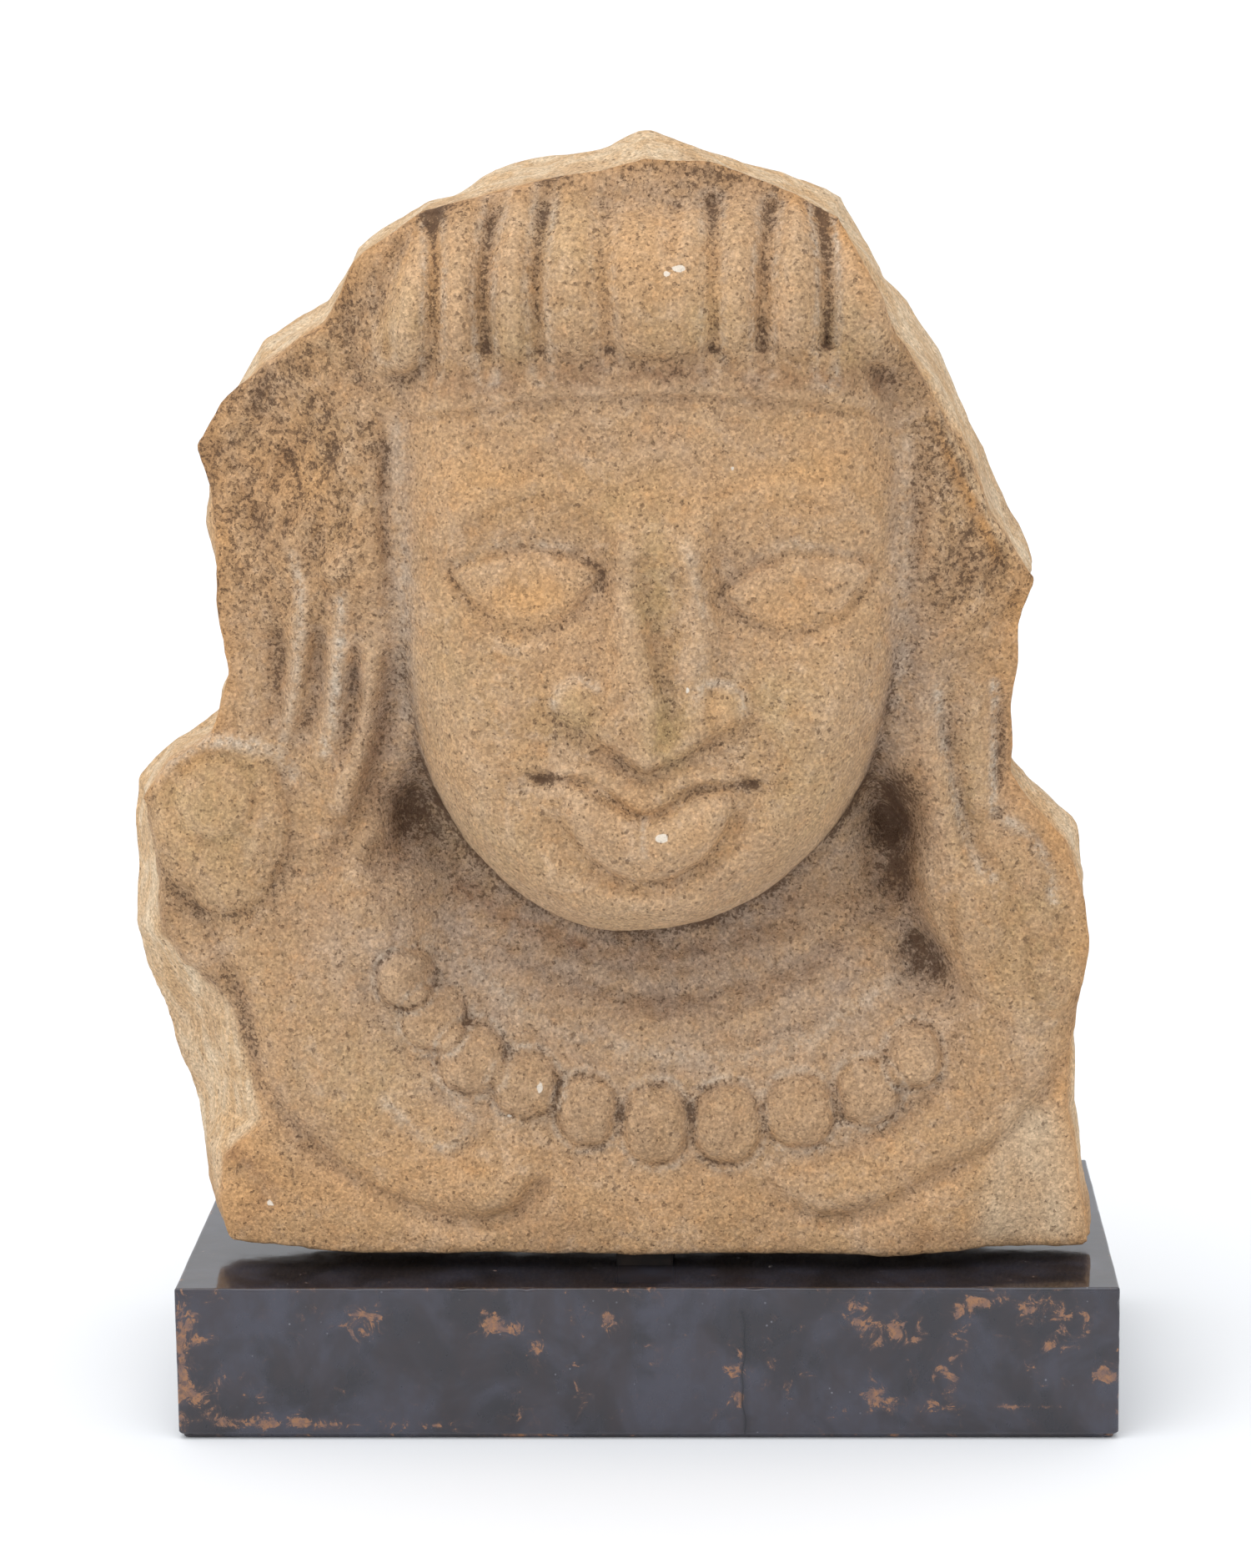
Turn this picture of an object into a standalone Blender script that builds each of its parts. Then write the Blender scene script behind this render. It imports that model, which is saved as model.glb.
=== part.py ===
"""A broken sandstone bust of Shiva on a square post in a lacquered block.

One carving unit is a millimetre on a stone 361 mm high. The carving is laid out in those units, with x to the
right, z up from the stone's bed and "depth" towards the viewer, so the front surface is y = -depth(x, z).
"""

import bmesh
import bpy
import numpy as np

# Driving dimensions, in metres.
STONE_HEIGHT = 0.361
STONE_GAP = 0.006
BASE_WIDTH = 0.305
BASE_DEPTH = 0.155
BASE_HEIGHT = 0.051
BASE_FOOT_CHAMFER = 0.0025
BASE_EDGE_ROUND = 0.0008
POST_WIDTH = 0.0185
POST_EDGE_ROUND = 0.0006
POST_SEAT_IN_BASE = 0.020
POST_SEAT_IN_STONE = 0.025
POST_LEFT_OF_CENTRE = 0.001
POST_AHEAD_OF_CENTRE = 0.042
FIT_CLEARANCE = 0.0003

# The stone's free form, in carving units.
STONE_UNITS = 361.0
UNIT = STONE_HEIGHT / STONE_UNITS
SEAT = (-1.0, -42.0)
BACK_DEPTH = -28.0
OUTLINE_DEPTH = 20.0
VOXEL = 2.5
STONE_TRIANGLES = 9300

FACE_LEFT, FACE_RIGHT = -76.5, 84.5
JAW_TOP, CHIN = 203.0, 106.0
HAIRLINE, CAP_FOOT = 282.0, 291.0
NOSE_ROOT = 243.0
EYES = [(-10.5, 228.0, -57.5, 228.0, 7.0, 18.0), (26.0, 221.0, 74.0, 227.5, 8.5, 15.0)]
MOUTH = [
    (-31, 164.3), (-23, 164.7), (-15, 162.9), (-6, 156.6), (2.5, 152.4), (10.5, 155.6), (18, 161.2), (36, 162),
]
LIP_TOP = [
    (-27, 166.5), (-19, 170), (-10, 169.4), (-2.5, 166), (3, 163.5), (9, 166), (16, 168.5), (25, 168), (32, 165),
]
NOSE_EDGE = [
    (-27, 187), (-24, 183), (-14, 177.2), (-7, 173.5), (-1, 168.7), (3, 167), (9, 169.9), (21, 175.2), (33, 181.5),
]

# Broken outline seen from the front: x, z and how far the front edge stands in from it.
OUTLINE = [
    (-142.5, -12, 9), (-147.2, 16, 8), (-148, 31, 10), (-149.2, 41, 27), (-152.8, 55, 28), (-159.5, 72, 30),
    (-166.5, 89, 22), (-170, 104, 15), (-169.2, 122, 14), (-169.9, 140, 12), (-168.1, 152.4, 8), (-154.6, 164.6, 3),
    (-140.2, 173, 2), (-136, 191, 4), (-139, 215, 4), (-136.8, 236, 2), (-137.2, 247, 2), (-141.8, 265, 2),
    (-134.2, 279.5, 3), (-121.3, 297, 7), (-101.8, 308, 6), (-89.7, 324, 3), (-67, 341.5, 3), (-34, 349, 3),
    (-10, 354.5, 3), (2.6, 361, 6), (23.3, 353.8, 1), (45.2, 347.6, 2), (64, 338, 1), (73.6, 322.5, 2),
    (77.2, 313, 1), (85, 305.6, 7), (95.9, 290.2, 8), (104.3, 270, 6), (116.3, 245.6, 7), (124, 229.2, 5),
    (126.8, 221, 2), (119.8, 197, 1), (118.2, 178, 1), (118.6, 158, 1), (123.4, 150.8, 1), (137.4, 136.5, 2),
    (143.3, 117.2, 2), (144.8, 98, 2), (140.1, 66.5, 3),
    (139.9, 45.2, 3), (144, 18, 3), (149.5, -12, 3),
]

# Grooves between the upright locks over the brow: how deep they are cut, and points.
CAP_GROOVES = [
    (3.5, [(-77, 296), (-77.5, 318), (-72, 332)]), (6.0, [(-62.3, 290), (-60.8, 320), (-62, 338)]),
    (7.0, [(-44.8, 290), (-45.8, 320), (-41.5, 346)]), (5.5, [(-28.3, 290), (-29.3, 320), (-26.5, 348)]),
    (3.6, [(-7, 294), (-9.2, 324), (-6.7, 346)]), (2.4, [(12, 328), (14, 344)]),
    (4.2, [(23.9, 290), (24.7, 318), (24.2, 342)]), (6.0, [(39.4, 290), (40.1, 320), (42.5, 340)]),
    (7.5, [(58.7, 288), (59.7, 320), (57.5, 340)]),
]

# Long locks and cuts beside the neck: height, half width and points.
SIDE_STROKES = [
    (3.8, 4.6, [(-111, 231), (-108, 222), (-108, 208), (-110.5, 191), (-113, 178), (-116, 166)]),
    (4.0, 4.6, [(-94, 220), (-95, 205), (-97, 191), (-98.5, 178), (-102, 167), (-109, 152)]),
    (3.6, 4.6, [(-82, 214), (-85, 198), (-87, 184), (-89.5, 169), (-96, 153), (-103, 142)]),
    (2.4, 4.0, [(-85, 272), (-95, 257), (-101, 246), (-108, 235)]),
    (2.4, 4.0, [(-82, 246), (-92, 230), (-101, 223)]),
    (3.4, 7.0, [(-92, 146), (-92, 128), (-91, 110)]),
    (3.6, 7.0, [(87, 202), (90, 174), (94, 150), (99, 130), (104, 112), (107, 96)]),
    (2.6, 5.0, [(105, 196), (106, 172), (108, 153), (111, 143)]),
    (-2.6, 2.8, [(-116, 213), (-115.5, 194), (-117, 180), (-119, 168)]),
    (-3.2, 3.0, [(-101, 218), (-101.5, 203), (-103.5, 191), (-107, 177), (-113, 166)]),
    (-3.0, 2.8, [(-88.5, 206), (-90.5, 191), (-92.5, 180), (-96, 166)]),
    (-4.6, 4.4, [(-77, 206), (-78.5, 190), (-81, 176), (-85, 162), (-90, 148), (-99, 133), (-108, 119)]),
    (-2.8, 2.6, [(95.5, 190), (96.7, 174), (99.7, 158.6), (104.3, 140.3), (108, 131), (113, 125)]),
    (-2.8, 2.8, [(114, 190), (114.7, 176), (114, 161), (114, 146)]),
    (-2.4, 2.6, [(-78, 280), (-78.5, 252), (-78, 225), (-77, 205)]),
    (-2.4, 2.6, [(86.5, 280), (87, 250), (86.5, 222), (86, 200), (83, 176)]),
]

# Hollows between the head, the long locks and the neck: centre, radii and how deep.
HOLLOWS = [
    (-77, 145, 9, 11, 12), (-84, 132, 10, 9, 6), (-66, 134, 10, 8, 4),
    (80, 142, 9, 13, 13), (76, 123, 13, 16, 9), (84, 137, 4.5, 8, 5), (81, 118, 5, 5, 3), (90, 98, 9, 13, 9),
]

COLLAR_EDGES = [
    [(-147, 120), (-134, 93), (-128, 73), (-123, 53), (-101, 29.7), (-72, 13.5), (-56, 11), (-43, 14), (-35, 23)],
    [(141, 84), (136, 62), (118, 39), (89, 22.5), (76, 14.5), (63, 12), (50, 14.5), (39.5, 23)],
]
COLLAR_FOLDS = [
    [(-90, 90), (-85, 78), (-75, 62), (-62, 49), (-53, 42), (-60, 34.5), (-53, 30)],
    [(96, 57), (83, 46), (70, 38), (57, 33), (44, 29.5)],
]
COLLAR_BANDS = [
    [(-128, 102), (-109, 72), (-95, 48), (-74, 30), (-50, 25)],
    [(122, 68), (105, 45), (84, 31), (56, 22)],
]

BEADS = [
    (-77, 92, 9, 9), (-68, 79, 10, 10), (-56, 66, 10.5, 11), (-38.5, 57, 10.5, 10.5), (-19, 48.5, 9.6, 11.5),
    (3.5, 44, 10.6, 13), (26.5, 44, 10.8, 13), (50, 48.5, 10.8, 11.5), (72, 54.5, 10, 10.5), (87, 66, 8.5, 10),
]


def smooth_step(low, high, value):
    t = np.clip((value - low) / (high - low), 0.0, 1.0)
    return t * t * (3.0 - 2.0 * t)


def smooth_max(a, b, blend):
    share = np.clip(0.5 + 0.5 * (a - b) / blend, 0.0, 1.0)
    return b + (a - b) * share + blend * share * (1.0 - share)


def quarter_round(t):
    """0 at a rim and 1 from t = 1 inwards, with a round shoulder."""
    inner = 1.0 - np.clip(t, 0.0, 1.0)
    return np.sqrt(1.0 - inner * inner)


def mound(x, z, centre_x, centre_z, radius_x, radius_z):
    return np.exp(-(((x - centre_x) / radius_x) ** 2) - ((z - centre_z) / radius_z) ** 2)


def dome(x, z, centre_x, centre_z, radius_x, radius_z, power=2.0):
    reach = np.abs((x - centre_x) / radius_x) ** power + np.abs((z - centre_z) / radius_z) ** power
    return np.sqrt(np.clip(1.0 - reach, 0.0, 1.0))


def curve_through(points, steps=5):
    """A Catmull-Rom curve through the points."""
    p = np.array([points[0], *points, points[-1]], float)
    found = []
    for a, b, c, d in zip(p, p[1:], p[2:], p[3:]):
        for t in np.arange(steps) / steps:
            found.append(
                0.5 * (2 * b + (c - a) * t + (2 * a - 5 * b + 4 * c - d) * t**2 + (3 * b - a - 3 * c + d) * t**3)
            )
    return np.array([*found, p[-1]])


def distance_to(x, z, points):
    """Distance to a run of straight pieces, and how far along the run its nearest point is, from 0 to 1."""
    nearest, along = np.full(x.shape, 1e9), np.zeros(x.shape)
    for i, ((ax, az), (bx, bz)) in enumerate(zip(points, points[1:])):
        dx, dz = bx - ax, bz - az
        t = np.clip(((x - ax) * dx + (z - az) * dz) / (dx * dx + dz * dz + 1e-9), 0.0, 1.0)
        away = np.hypot(x - ax - t * dx, z - az - t * dz)
        along = np.where(away < nearest, (i + t) / (len(points) - 1), along)
        nearest = np.minimum(nearest, away)
    return nearest, along


def line_mound(x, z, points, half_width, taper=0.0):
    """1 along a curve, fading to 0 beside it and over a share of it at each end."""
    away, along = distance_to(x, z, curve_through(points))
    fade = smooth_step(-0.01, taper, np.minimum(along, 1.0 - along)) if taper else 1.0
    return np.exp(-((away / half_width) ** 2)) * fade


def outline_distance(x, z):
    """Signed distance to the broken outline, negative inside, and the front edge's set-in nearest there."""
    nearest = np.full(x.shape, 1e9)
    set_in = np.zeros(x.shape)
    inside = np.zeros(x.shape, bool)
    for (ax, az, a_in), (bx, bz, b_in) in zip(OUTLINE, OUTLINE[1:] + OUTLINE[:1]):
        dx, dz = bx - ax, bz - az
        t = np.clip(((x - ax) * dx + (z - az) * dz) / (dx * dx + dz * dz), 0.0, 1.0)
        away = np.hypot(x - ax - t * dx, z - az - t * dz)
        closer = away < nearest
        nearest = np.where(closer, away, nearest)
        set_in = np.where(closer, a_in + t * (b_in - a_in), set_in)
        if az != bz:
            inside ^= ((az > z) != (bz > z)) & (x < dx * (z - az) / dz + ax)
    return np.where(inside, -nearest, nearest), set_in


def ground(x, z):
    """Worn hair beside the head, neck and chest, before anything stands out from them."""
    beside = np.exp(-((np.clip(np.abs(x - 4.0) - 78.0, 0.0, None) / 42.0) ** 2))
    upper = smooth_step(165.0, 228.0, z) * (1.0 - 0.15 * smooth_step(290.0, 310.0, z))
    hair = 50.0 + (10.0 + 16.0 * upper) * beside + 4.0 * smooth_step(250.0, 310.0, z)
    chest = 60.0 - 7.0 * smooth_step(90.0, 165.0, np.abs(x + 5.0)) - 2.0 * smooth_step(55.0, 100.0, z)
    depth = chest + (hair - chest) * smooth_step(80.0, 165.0, z)
    wall = np.interp(z, (60.0, 85.0, 105.0, 121.0, 140.0, 160.0), (116.0, 109.0, 97.0, 93.0, 88.0, 84.0))
    shore = np.interp(z, (80.0, 100.0, 125.0, 150.0), (-84.0, -82.0, -84.0, -90.0))
    throat = smooth_step(0.0, 22.0, x - shore) * smooth_step(-1.0, 12.0, wall - x)
    depth -= 14.0 * throat * smooth_step(58.0, 116.0, z) * smooth_step(178.0, 150.0, z)
    for hollow_x, hollow_z, radius_x, radius_z, deep in HOLLOWS:
        depth -= deep * mound(x, z, hollow_x, hollow_z, radius_x, radius_z)
    return depth


def collar(x, z):
    """Broad worn bands that come down from the shoulders and end in curled knobs under the necklace."""
    raised = 2.6 * dome(x, z, -50.0, 26.0, 17.0, 13.0) ** 1.4 + 2.2 * dome(x, z, 56.0, 24.0, 20.0, 11.0) ** 1.4
    for band in COLLAR_BANDS:
        raised += 2.6 * line_mound(x, z, band, 15.0)
    for edge in COLLAR_EDGES:
        raised -= 3.0 * line_mound(x, z, edge, 3.6)
    for fold in COLLAR_FOLDS:
        raised -= 1.8 * line_mound(x, z, fold, 2.8)
    return raised


def necklace(x, z):
    """Flattened beads side by side, each with a worn rim cut round it."""
    raised = 2.0 * line_mound(x, z, [bead[:2] for bead in BEADS], 11.0)
    for bead_x, bead_z, radius_x, radius_z in BEADS:
        rim = mound(x, z, bead_x, bead_z, radius_x + 2.0, radius_z + 2.0)
        bead = dome(x, z, bead_x, bead_z, radius_x, radius_z, 2.5) ** 1.3
        raised = np.maximum(raised - 2.0 * rim * (bead < 0.02), -1.0) + 4.2 * bead
    return raised


def neck_folds(x, z):
    first = [(-57, 106), (-22, 90), (10, 85), (45, 93), (77, 112)]
    second = [(-46, 96), (-20, 81), (12, 76), (46, 83), (66, 96)]
    return -1.4 * line_mound(x, z, first, 3.0) + 1.0 * line_mound(x, z, second, 4.0)


def side_strokes(x, z):
    raised, cut = np.zeros(x.shape), np.zeros(x.shape)
    for height, half_width, points in SIDE_STROKES:
        stroke = height * line_mound(x, z, points, half_width, 0.3)
        raised, cut = np.maximum(raised, stroke), np.minimum(cut, stroke)
    return raised + cut


def earrings(x, z):
    """A worn disc on a rounded mass at one shoulder, and a lobed mass at the other."""
    left = 8.0 * dome(x, z, -136.0, 143.0, 22.5, 30.0) ** 1.2 + 1.8 * dome(x, z, -138.0, 151.5, 13.0, 13.0)
    left -= 0.9 * np.exp(-(((np.hypot(x + 138.0, z - 151.5) - 14.5) / 2.2) ** 2))
    left += 3.0 * line_mound(x, z, [(-158, 158), (-145, 168.5), (-131, 170), (-117, 166)], 4.0)
    left += 3.0 * dome(x, z, -90.0, 108.5, 9.0, 12.5)
    right = 6.5 * dome(x, z, 126.0, 112.0, 26.0, 38.0) ** 1.3
    right -= 2.2 * line_mound(x, z, [(114, 144), (119, 140), (125, 137), (130, 130), (131, 121)], 2.8)
    right -= 2.0 * line_mound(x, z, [(110, 131), (116, 122), (118, 108), (114, 94)], 3.2)
    right += 2.2 * dome(x, z, 133.0, 92.0, 8.5, 9.5)
    return left + right


def face_mass(x, z):
    """The head as a cushion with a rounded jaw, before its features. Far below outside its outline."""
    half = (FACE_RIGHT - FACE_LEFT) / 2.0
    down = np.clip((JAW_TOP - z) / (JAW_TOP - CHIN), 0.0, 1.4)
    middle = (FACE_RIGHT + FACE_LEFT) / 2.0 - 5.0 * np.clip(down, 0.0, 1.0)
    shape = (np.abs(x - middle) / half) ** 2 + down**2 - 1.0
    slope = np.hypot(2.0 * np.abs(x - middle) / half**2, 2.0 * down / (JAW_TOP - CHIN)) + 1e-4
    inward = -shape / slope
    shoulder = 28.0 - 4.0 * smooth_step(0.3, 1.0, down)
    crown = 92.0 + 2.5 * smooth_step(282.0, 215.0, z) - 5.0 * (np.abs(x - middle) / half) ** 2.5
    crown += 1.4 * smooth_step(HAIRLINE - 1.0, HAIRLINE + 3.0, z + 0.0012 * (x - 6.0) ** 2)
    foot = 36.0 + 26.0 * smooth_step(175.0, 225.0, z)
    depth = foot + (crown - foot) * quarter_round(inward / shoulder)
    return np.where(z < CAP_FOOT + 6.0, depth, -200.0) - 60.0 * (inward < 0.0)


def eye(x, z, inner_x, inner_z, outer_x, outer_z, above, below):
    """A heavy-lidded almond: socket, swelling lid, its lower edge and the crease above it."""
    across_x, across_z = outer_x - inner_x, outer_z - inner_z
    along = ((x - inner_x) * across_x + (z - inner_z) * across_z) / (across_x**2 + across_z**2) * 2.0 - 1.0
    away = (z - inner_z) - (x - inner_x) * across_z / across_x
    arch = np.clip(1.0 - along**2, 0.0, 1.0)
    upper, lower = above * arch**0.8, -below * arch**0.8
    height = np.where(away > 0, away / np.maximum(upper, 0.6), away / np.minimum(lower, -0.6))
    lid = np.clip(1.0 - height**2, 0.0, 1.0) ** 0.75 * arch**0.4
    middle_x, middle_z = (inner_x + outer_x) / 2.0, (inner_z + outer_z) / 2.0 - 3.0
    socket = 4.8 * mound(x, z, middle_x, middle_z + 2.0, 26.0, 17.0)
    span = np.linspace(-0.98, 0.98, 11)

    def arc(rise):
        return [
            (inner_x + (s + 1) / 2 * across_x, inner_z + (s + 1) / 2 * across_z + rise * (1.0 - s * s) ** 0.8)
            for s in span
        ]

    crease = 0.8 * line_mound(x, z, arc(above + 1.0), 1.7) + 0.7 * line_mound(x, z, arc(above + 4.5), 1.8)
    under = 1.1 * line_mound(x, z, arc(-below - 0.8), 2.0)
    seam = 0.7 * line_mound(x, z, arc(2.8 - below), 1.5)
    return 3.8 * lid - socket - crease - under - seam


def brows(x, z):
    left = [(-2, 236), (-5.5, 244), (-13, 251.5), (-24, 255), (-37, 254), (-50, 249), (-61, 239)]
    right = [(16.5, 237), (20, 246), (30, 251), (43, 254), (57, 253), (68, 248), (76, 239)]
    return 1.5 * (line_mound(x, z, left, 3.6) + line_mound(x, z, right, 3.6))


def nose(x, z):
    """A broad nose whose ridge has been knocked away between two ragged edges."""
    edge = np.array(NOSE_EDGE)
    lowest = np.interp(x, edge[:, 0], edge[:, 1])
    t = np.clip((NOSE_ROOT - z) / (NOSE_ROOT - 169.0), 0.0, 1.0)
    middle = 9.0 - 5.0 * t
    half_width = 13.5 + 7.0 * t**1.5
    ridge = (4.2 + 1.8 * t) * smooth_step(5.5, -5.5, np.abs(x - middle) - half_width)
    ridge += 2.0 * line_mound(x, z, [(-5, 236), (-2, 213), (1.5, 194), (2.5, 181), (3, 169)], 5.0)
    ridge += 2.0 * line_mound(x, z, [(15.5, 238), (19, 225), (22, 210), (20, 198)], 5.0, 0.3)
    keep = smooth_step(lowest - 3.0, lowest + 4.5, z) * smooth_step(NOSE_ROOT + 16.0, NOSE_ROOT - 6.0, z)
    left = 4.0 * dome(x, z, -19.0, 188.5, 9.0, 8.0)
    right = 4.0 * dome(x, z, 25.5, 185.5, 9.0, 9.0)
    ring = 1.4 * (mound(x, z, 25.5, 185.0, 12.0, 12.0) - mound(x, z, 25.5, 185.0, 8.0, 8.0))
    valley = [(2.5, 231), (4.5, 218), (6.5, 206), (8, 196), (10, 187), (10, 180), (8.5, 175)]
    knocked = 3.0 * line_mound(x, z, valley, 3.4)
    knocked += 1.8 * mound(x, z, 11.0, 214.0, 6.0, 16.0)
    knocked += 1.6 * line_mound(x, z, [(-7, 204), (-9.7, 193), (-11.4, 185), (-8, 187.5), (-2.5, 191)], 2.0)
    return keep * np.maximum(ridge - knocked * smooth_step(0.0, 0.3, t), np.maximum(left, right)) - 2.0 * ring


def mouth(x, z):
    """Full lips with a deep bow, a groove under them and a small round chin."""
    line, top = curve_through(MOUTH), curve_through(LIP_TOP)
    bow = np.interp(x, line[:, 0], line[:, 1])
    crest = np.interp(x, top[:, 0], top[:, 1])
    muzzle = 4.0 * mound(x, z, 3.0, 155.0, 38.0, 24.0)
    off = np.abs(x - 3.0)
    foot = 132.0 + 23.0 * np.clip(off / 28.5, 0.0, 1.15) ** 2.4
    part = np.clip((z - foot) / np.maximum(bow - foot, 0.5), 0.0, 1.0)
    lower = 6.4 * (1.0 - (2.0 * part - 1.0) ** 2) ** 0.6 * smooth_step(31.0, 20.0, off)
    rise = np.clip((z - bow) / np.maximum(crest - bow, 2.0), 0.0, 1.0)
    upper = 2.4 * (1.0 - (2.0 * rise - 1.0) ** 2) ** 0.5 * smooth_step(33.0, 26.0, off)
    cut = 1.7 * line_mound(x, z, MOUTH, 2.1)
    corners = 1.2 * (mound(x, z, -31.0, 164.3, 5.0, 3.0) + mound(x, z, 36.0, 162.3, 5.0, 3.0))
    under = 1.6 * line_mound(x, z, [(-27, 150), (-20, 140), (-6, 131), (6, 130), (22, 137), (32, 150)], 3.0)
    chin = 4.0 * mound(x, z, 2.0, 121.0, 20.0, 9.0)
    return muzzle + lower + upper - cut - corners - under + chin


def cheeks(x, z):
    return 3.5 * mound(x, z, -45.0, 186.0, 24.0, 24.0) + 3.5 * mound(x, z, 57.0, 186.0, 24.0, 24.0)


def cap(x, z):
    """Upright locks that swell out above the brow, parted by cuts and rounded at their ends."""
    level = z + 0.0006 * (x - 6.0) ** 2
    ends = smooth_step(0.0, 26.0, x + 98.0 - 0.35 * np.clip(z - 296.0, 0.0, None))
    ends = ends * quarter_round((86.0 - x) / 14.0)
    parted, cut = np.zeros(x.shape), np.zeros(x.shape)
    for deep, points in CAP_GROOVES:
        near = np.exp(-distance_to(x, z, curve_through(points))[0] / 4.4)
        parted, cut = np.maximum(parted, near), np.maximum(cut, deep * near)
    swell = 99.5 - 0.018 * (z - 310.0) ** 2 - 6.0 * (np.abs(x) / 80.0) ** 2.5
    rise = quarter_round((level - CAP_FOOT + 2.0 - 6.0 * parted * smooth_step(308.0, 292.0, z)) / 7.5)
    depth = 60.0 + (swell - 60.0) * rise * ends - cut * rise * ends
    depth += 2.0 * mound(x, z, 5.0, 318.0, 16.0, 22.0) - 4.0 * mound(x, z, 8.0, 343.0, 18.0, 7.0)
    return np.where((level > CAP_FOOT - 3.0) & (ends > 0.0), depth, -200.0)


def relief(x, z):
    """Depth of the carved front at each x and z."""
    depth = ground(x, z) + side_strokes(x, z) + earrings(x, z)
    depth += smooth_step(150.0, 115.0, z) * (collar(x, z) + necklace(x, z) + neck_folds(x, z))
    face = face_mass(x, z) + brows(x, z) + nose(x, z) + mouth(x, z) + cheeks(x, z)
    for corners in EYES:
        face += eye(x, z, *corners)
    face -= 1.3 * np.exp(-(((z + 0.0012 * (x - 6.0) ** 2 - HAIRLINE) / 1.9) ** 2))
    depth = smooth_max(depth, face, 4.0)
    depth = smooth_max(depth, cap(x, z), 3.0)
    chip = smooth_step(-3.0, 16.0, x - 104.0 - 0.25 * z) * smooth_step(54.0, 34.0, z + 0.2 * (x - 125.0))
    return depth - 4.0 * chip


def stone_field(x, y, z):
    """Roughly the distance outside the stone, negative inside, on the grid of the three ranges."""
    flat_x, flat_z = np.meshgrid(x, z, indexing="ij")
    depth = relief(flat_x, flat_z)
    depth[1:-1] = (depth[:-2] + 6.0 * depth[1:-1] + depth[2:]) / 8.0
    depth[:, 1:-1] = (depth[:, :-2] + 6.0 * depth[:, 1:-1] + depth[:, 2:]) / 8.0
    slope_x, slope_z = np.gradient(depth, x, z)
    steep = np.sqrt(1.0 + slope_x**2 + slope_z**2)
    away, set_in = outline_distance(flat_x, flat_z)
    edge = np.clip(depth, 40.0, 85.0)
    y3, depth3 = y[None, :, None], depth[:, None, :]
    front = (-y3 - depth3) / steep[:, None, :]
    ahead = np.clip((-y3 - OUTLINE_DEPTH) / (edge[:, None, :] - OUTLINE_DEPTH), 0.0, 1.3)
    behind = np.clip((y3 + OUTLINE_DEPTH) / (OUTLINE_DEPTH - BACK_DEPTH), 0.0, 1.5)
    side = away[:, None, :] + set_in[:, None, :] * ahead + 13.0 * behind**2
    back = y3 + BACK_DEPTH + 8.0 * ((flat_x / 160.0) ** 2 + ((flat_z - 180.0) / 200.0) ** 2)[:, None, :]
    lift = 0.22 * np.clip(y3 + 20.0, 0.0, None) + 0.08 * np.clip(-95.0 - flat_x, 0.0, None)[:, None, :]
    bed = lift - flat_z[:, None, :]
    return smooth_max(smooth_max(front, side, 1.2), smooth_max(back, bed, 2.0), 2.0)


def fill_pinches(field, step):
    """The field with each corner filled where four cells would meet the surface along one edge."""
    for _ in range(6):
        inside = field < 0.0
        pinched = np.zeros(field.shape, bool)
        for u, v in ((0, 1), (0, 2), (1, 2)):
            a, b, c, d = (
                tuple(slice(s, s - 1 or None) if axis == u else slice(t, t - 1 or None) if axis == v else slice(None)
                      for axis in range(3))
                for s, t in ((0, 0), (1, 0), (0, 1), (1, 1))
            )
            crossed = (inside[a] == inside[d]) & (inside[b] == inside[c]) & (inside[a] != inside[b])
            for corner in (a, b, c, d):
                pinched[corner] |= crossed
        if not (pinched & ~inside).any():
            break
        field = np.where(pinched & ~inside, -0.15 * step, field)
    return field


def surface_net(field, start, step):
    """Points and quads of the surface where the field is zero, one point in each cell that it crosses."""
    field = fill_pinches(field, step)
    inside = field < 0.0
    count = sum(
        inside[i : i - 1 or None, j : j - 1 or None, k : k - 1 or None].astype(np.int8)
        for i in (0, 1) for j in (0, 1) for k in (0, 1)
    )
    crossed = (count > 0) & (count < 8)
    index = np.full(crossed.shape, -1, np.int64)
    index[crossed] = np.arange(crossed.sum())
    total, hits, quads = np.zeros((crossed.sum(), 3)), np.zeros(crossed.sum()), []
    for axis in range(3):
        first = [slice(1, -1)] * 3
        second = [slice(1, -1)] * 3
        first[axis], second[axis] = slice(0, -1), slice(1, None)
        a, b = field[tuple(first)], field[tuple(second)]
        at = np.argwhere((a < 0.0) != (b < 0.0))
        low, high = a[tuple(at.T)], b[tuple(at.T)]
        base = at + 1
        base[:, axis] -= 1
        crossing = base.astype(float)
        crossing[:, axis] += low / (low - high)
        u, v = [(1, 2), (2, 0), (0, 1)][axis]
        ring = []
        for du, dv in ((-1, -1), (0, -1), (0, 0), (-1, 0)):
            cell = base.copy()
            cell[:, u] += du
            cell[:, v] += dv
            ring.append(index[tuple(cell.T)])
        ring = np.array(ring).T
        for column in ring.T:
            for c in range(3):
                total[:, c] += np.bincount(column, crossing[:, c], len(total))
            hits += np.bincount(column, minlength=len(total))
        quads.append(np.where((low < 0.0)[:, None], ring, ring[:, ::-1]))
    return start + step * total / hits[:, None], np.concatenate(quads)


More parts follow.
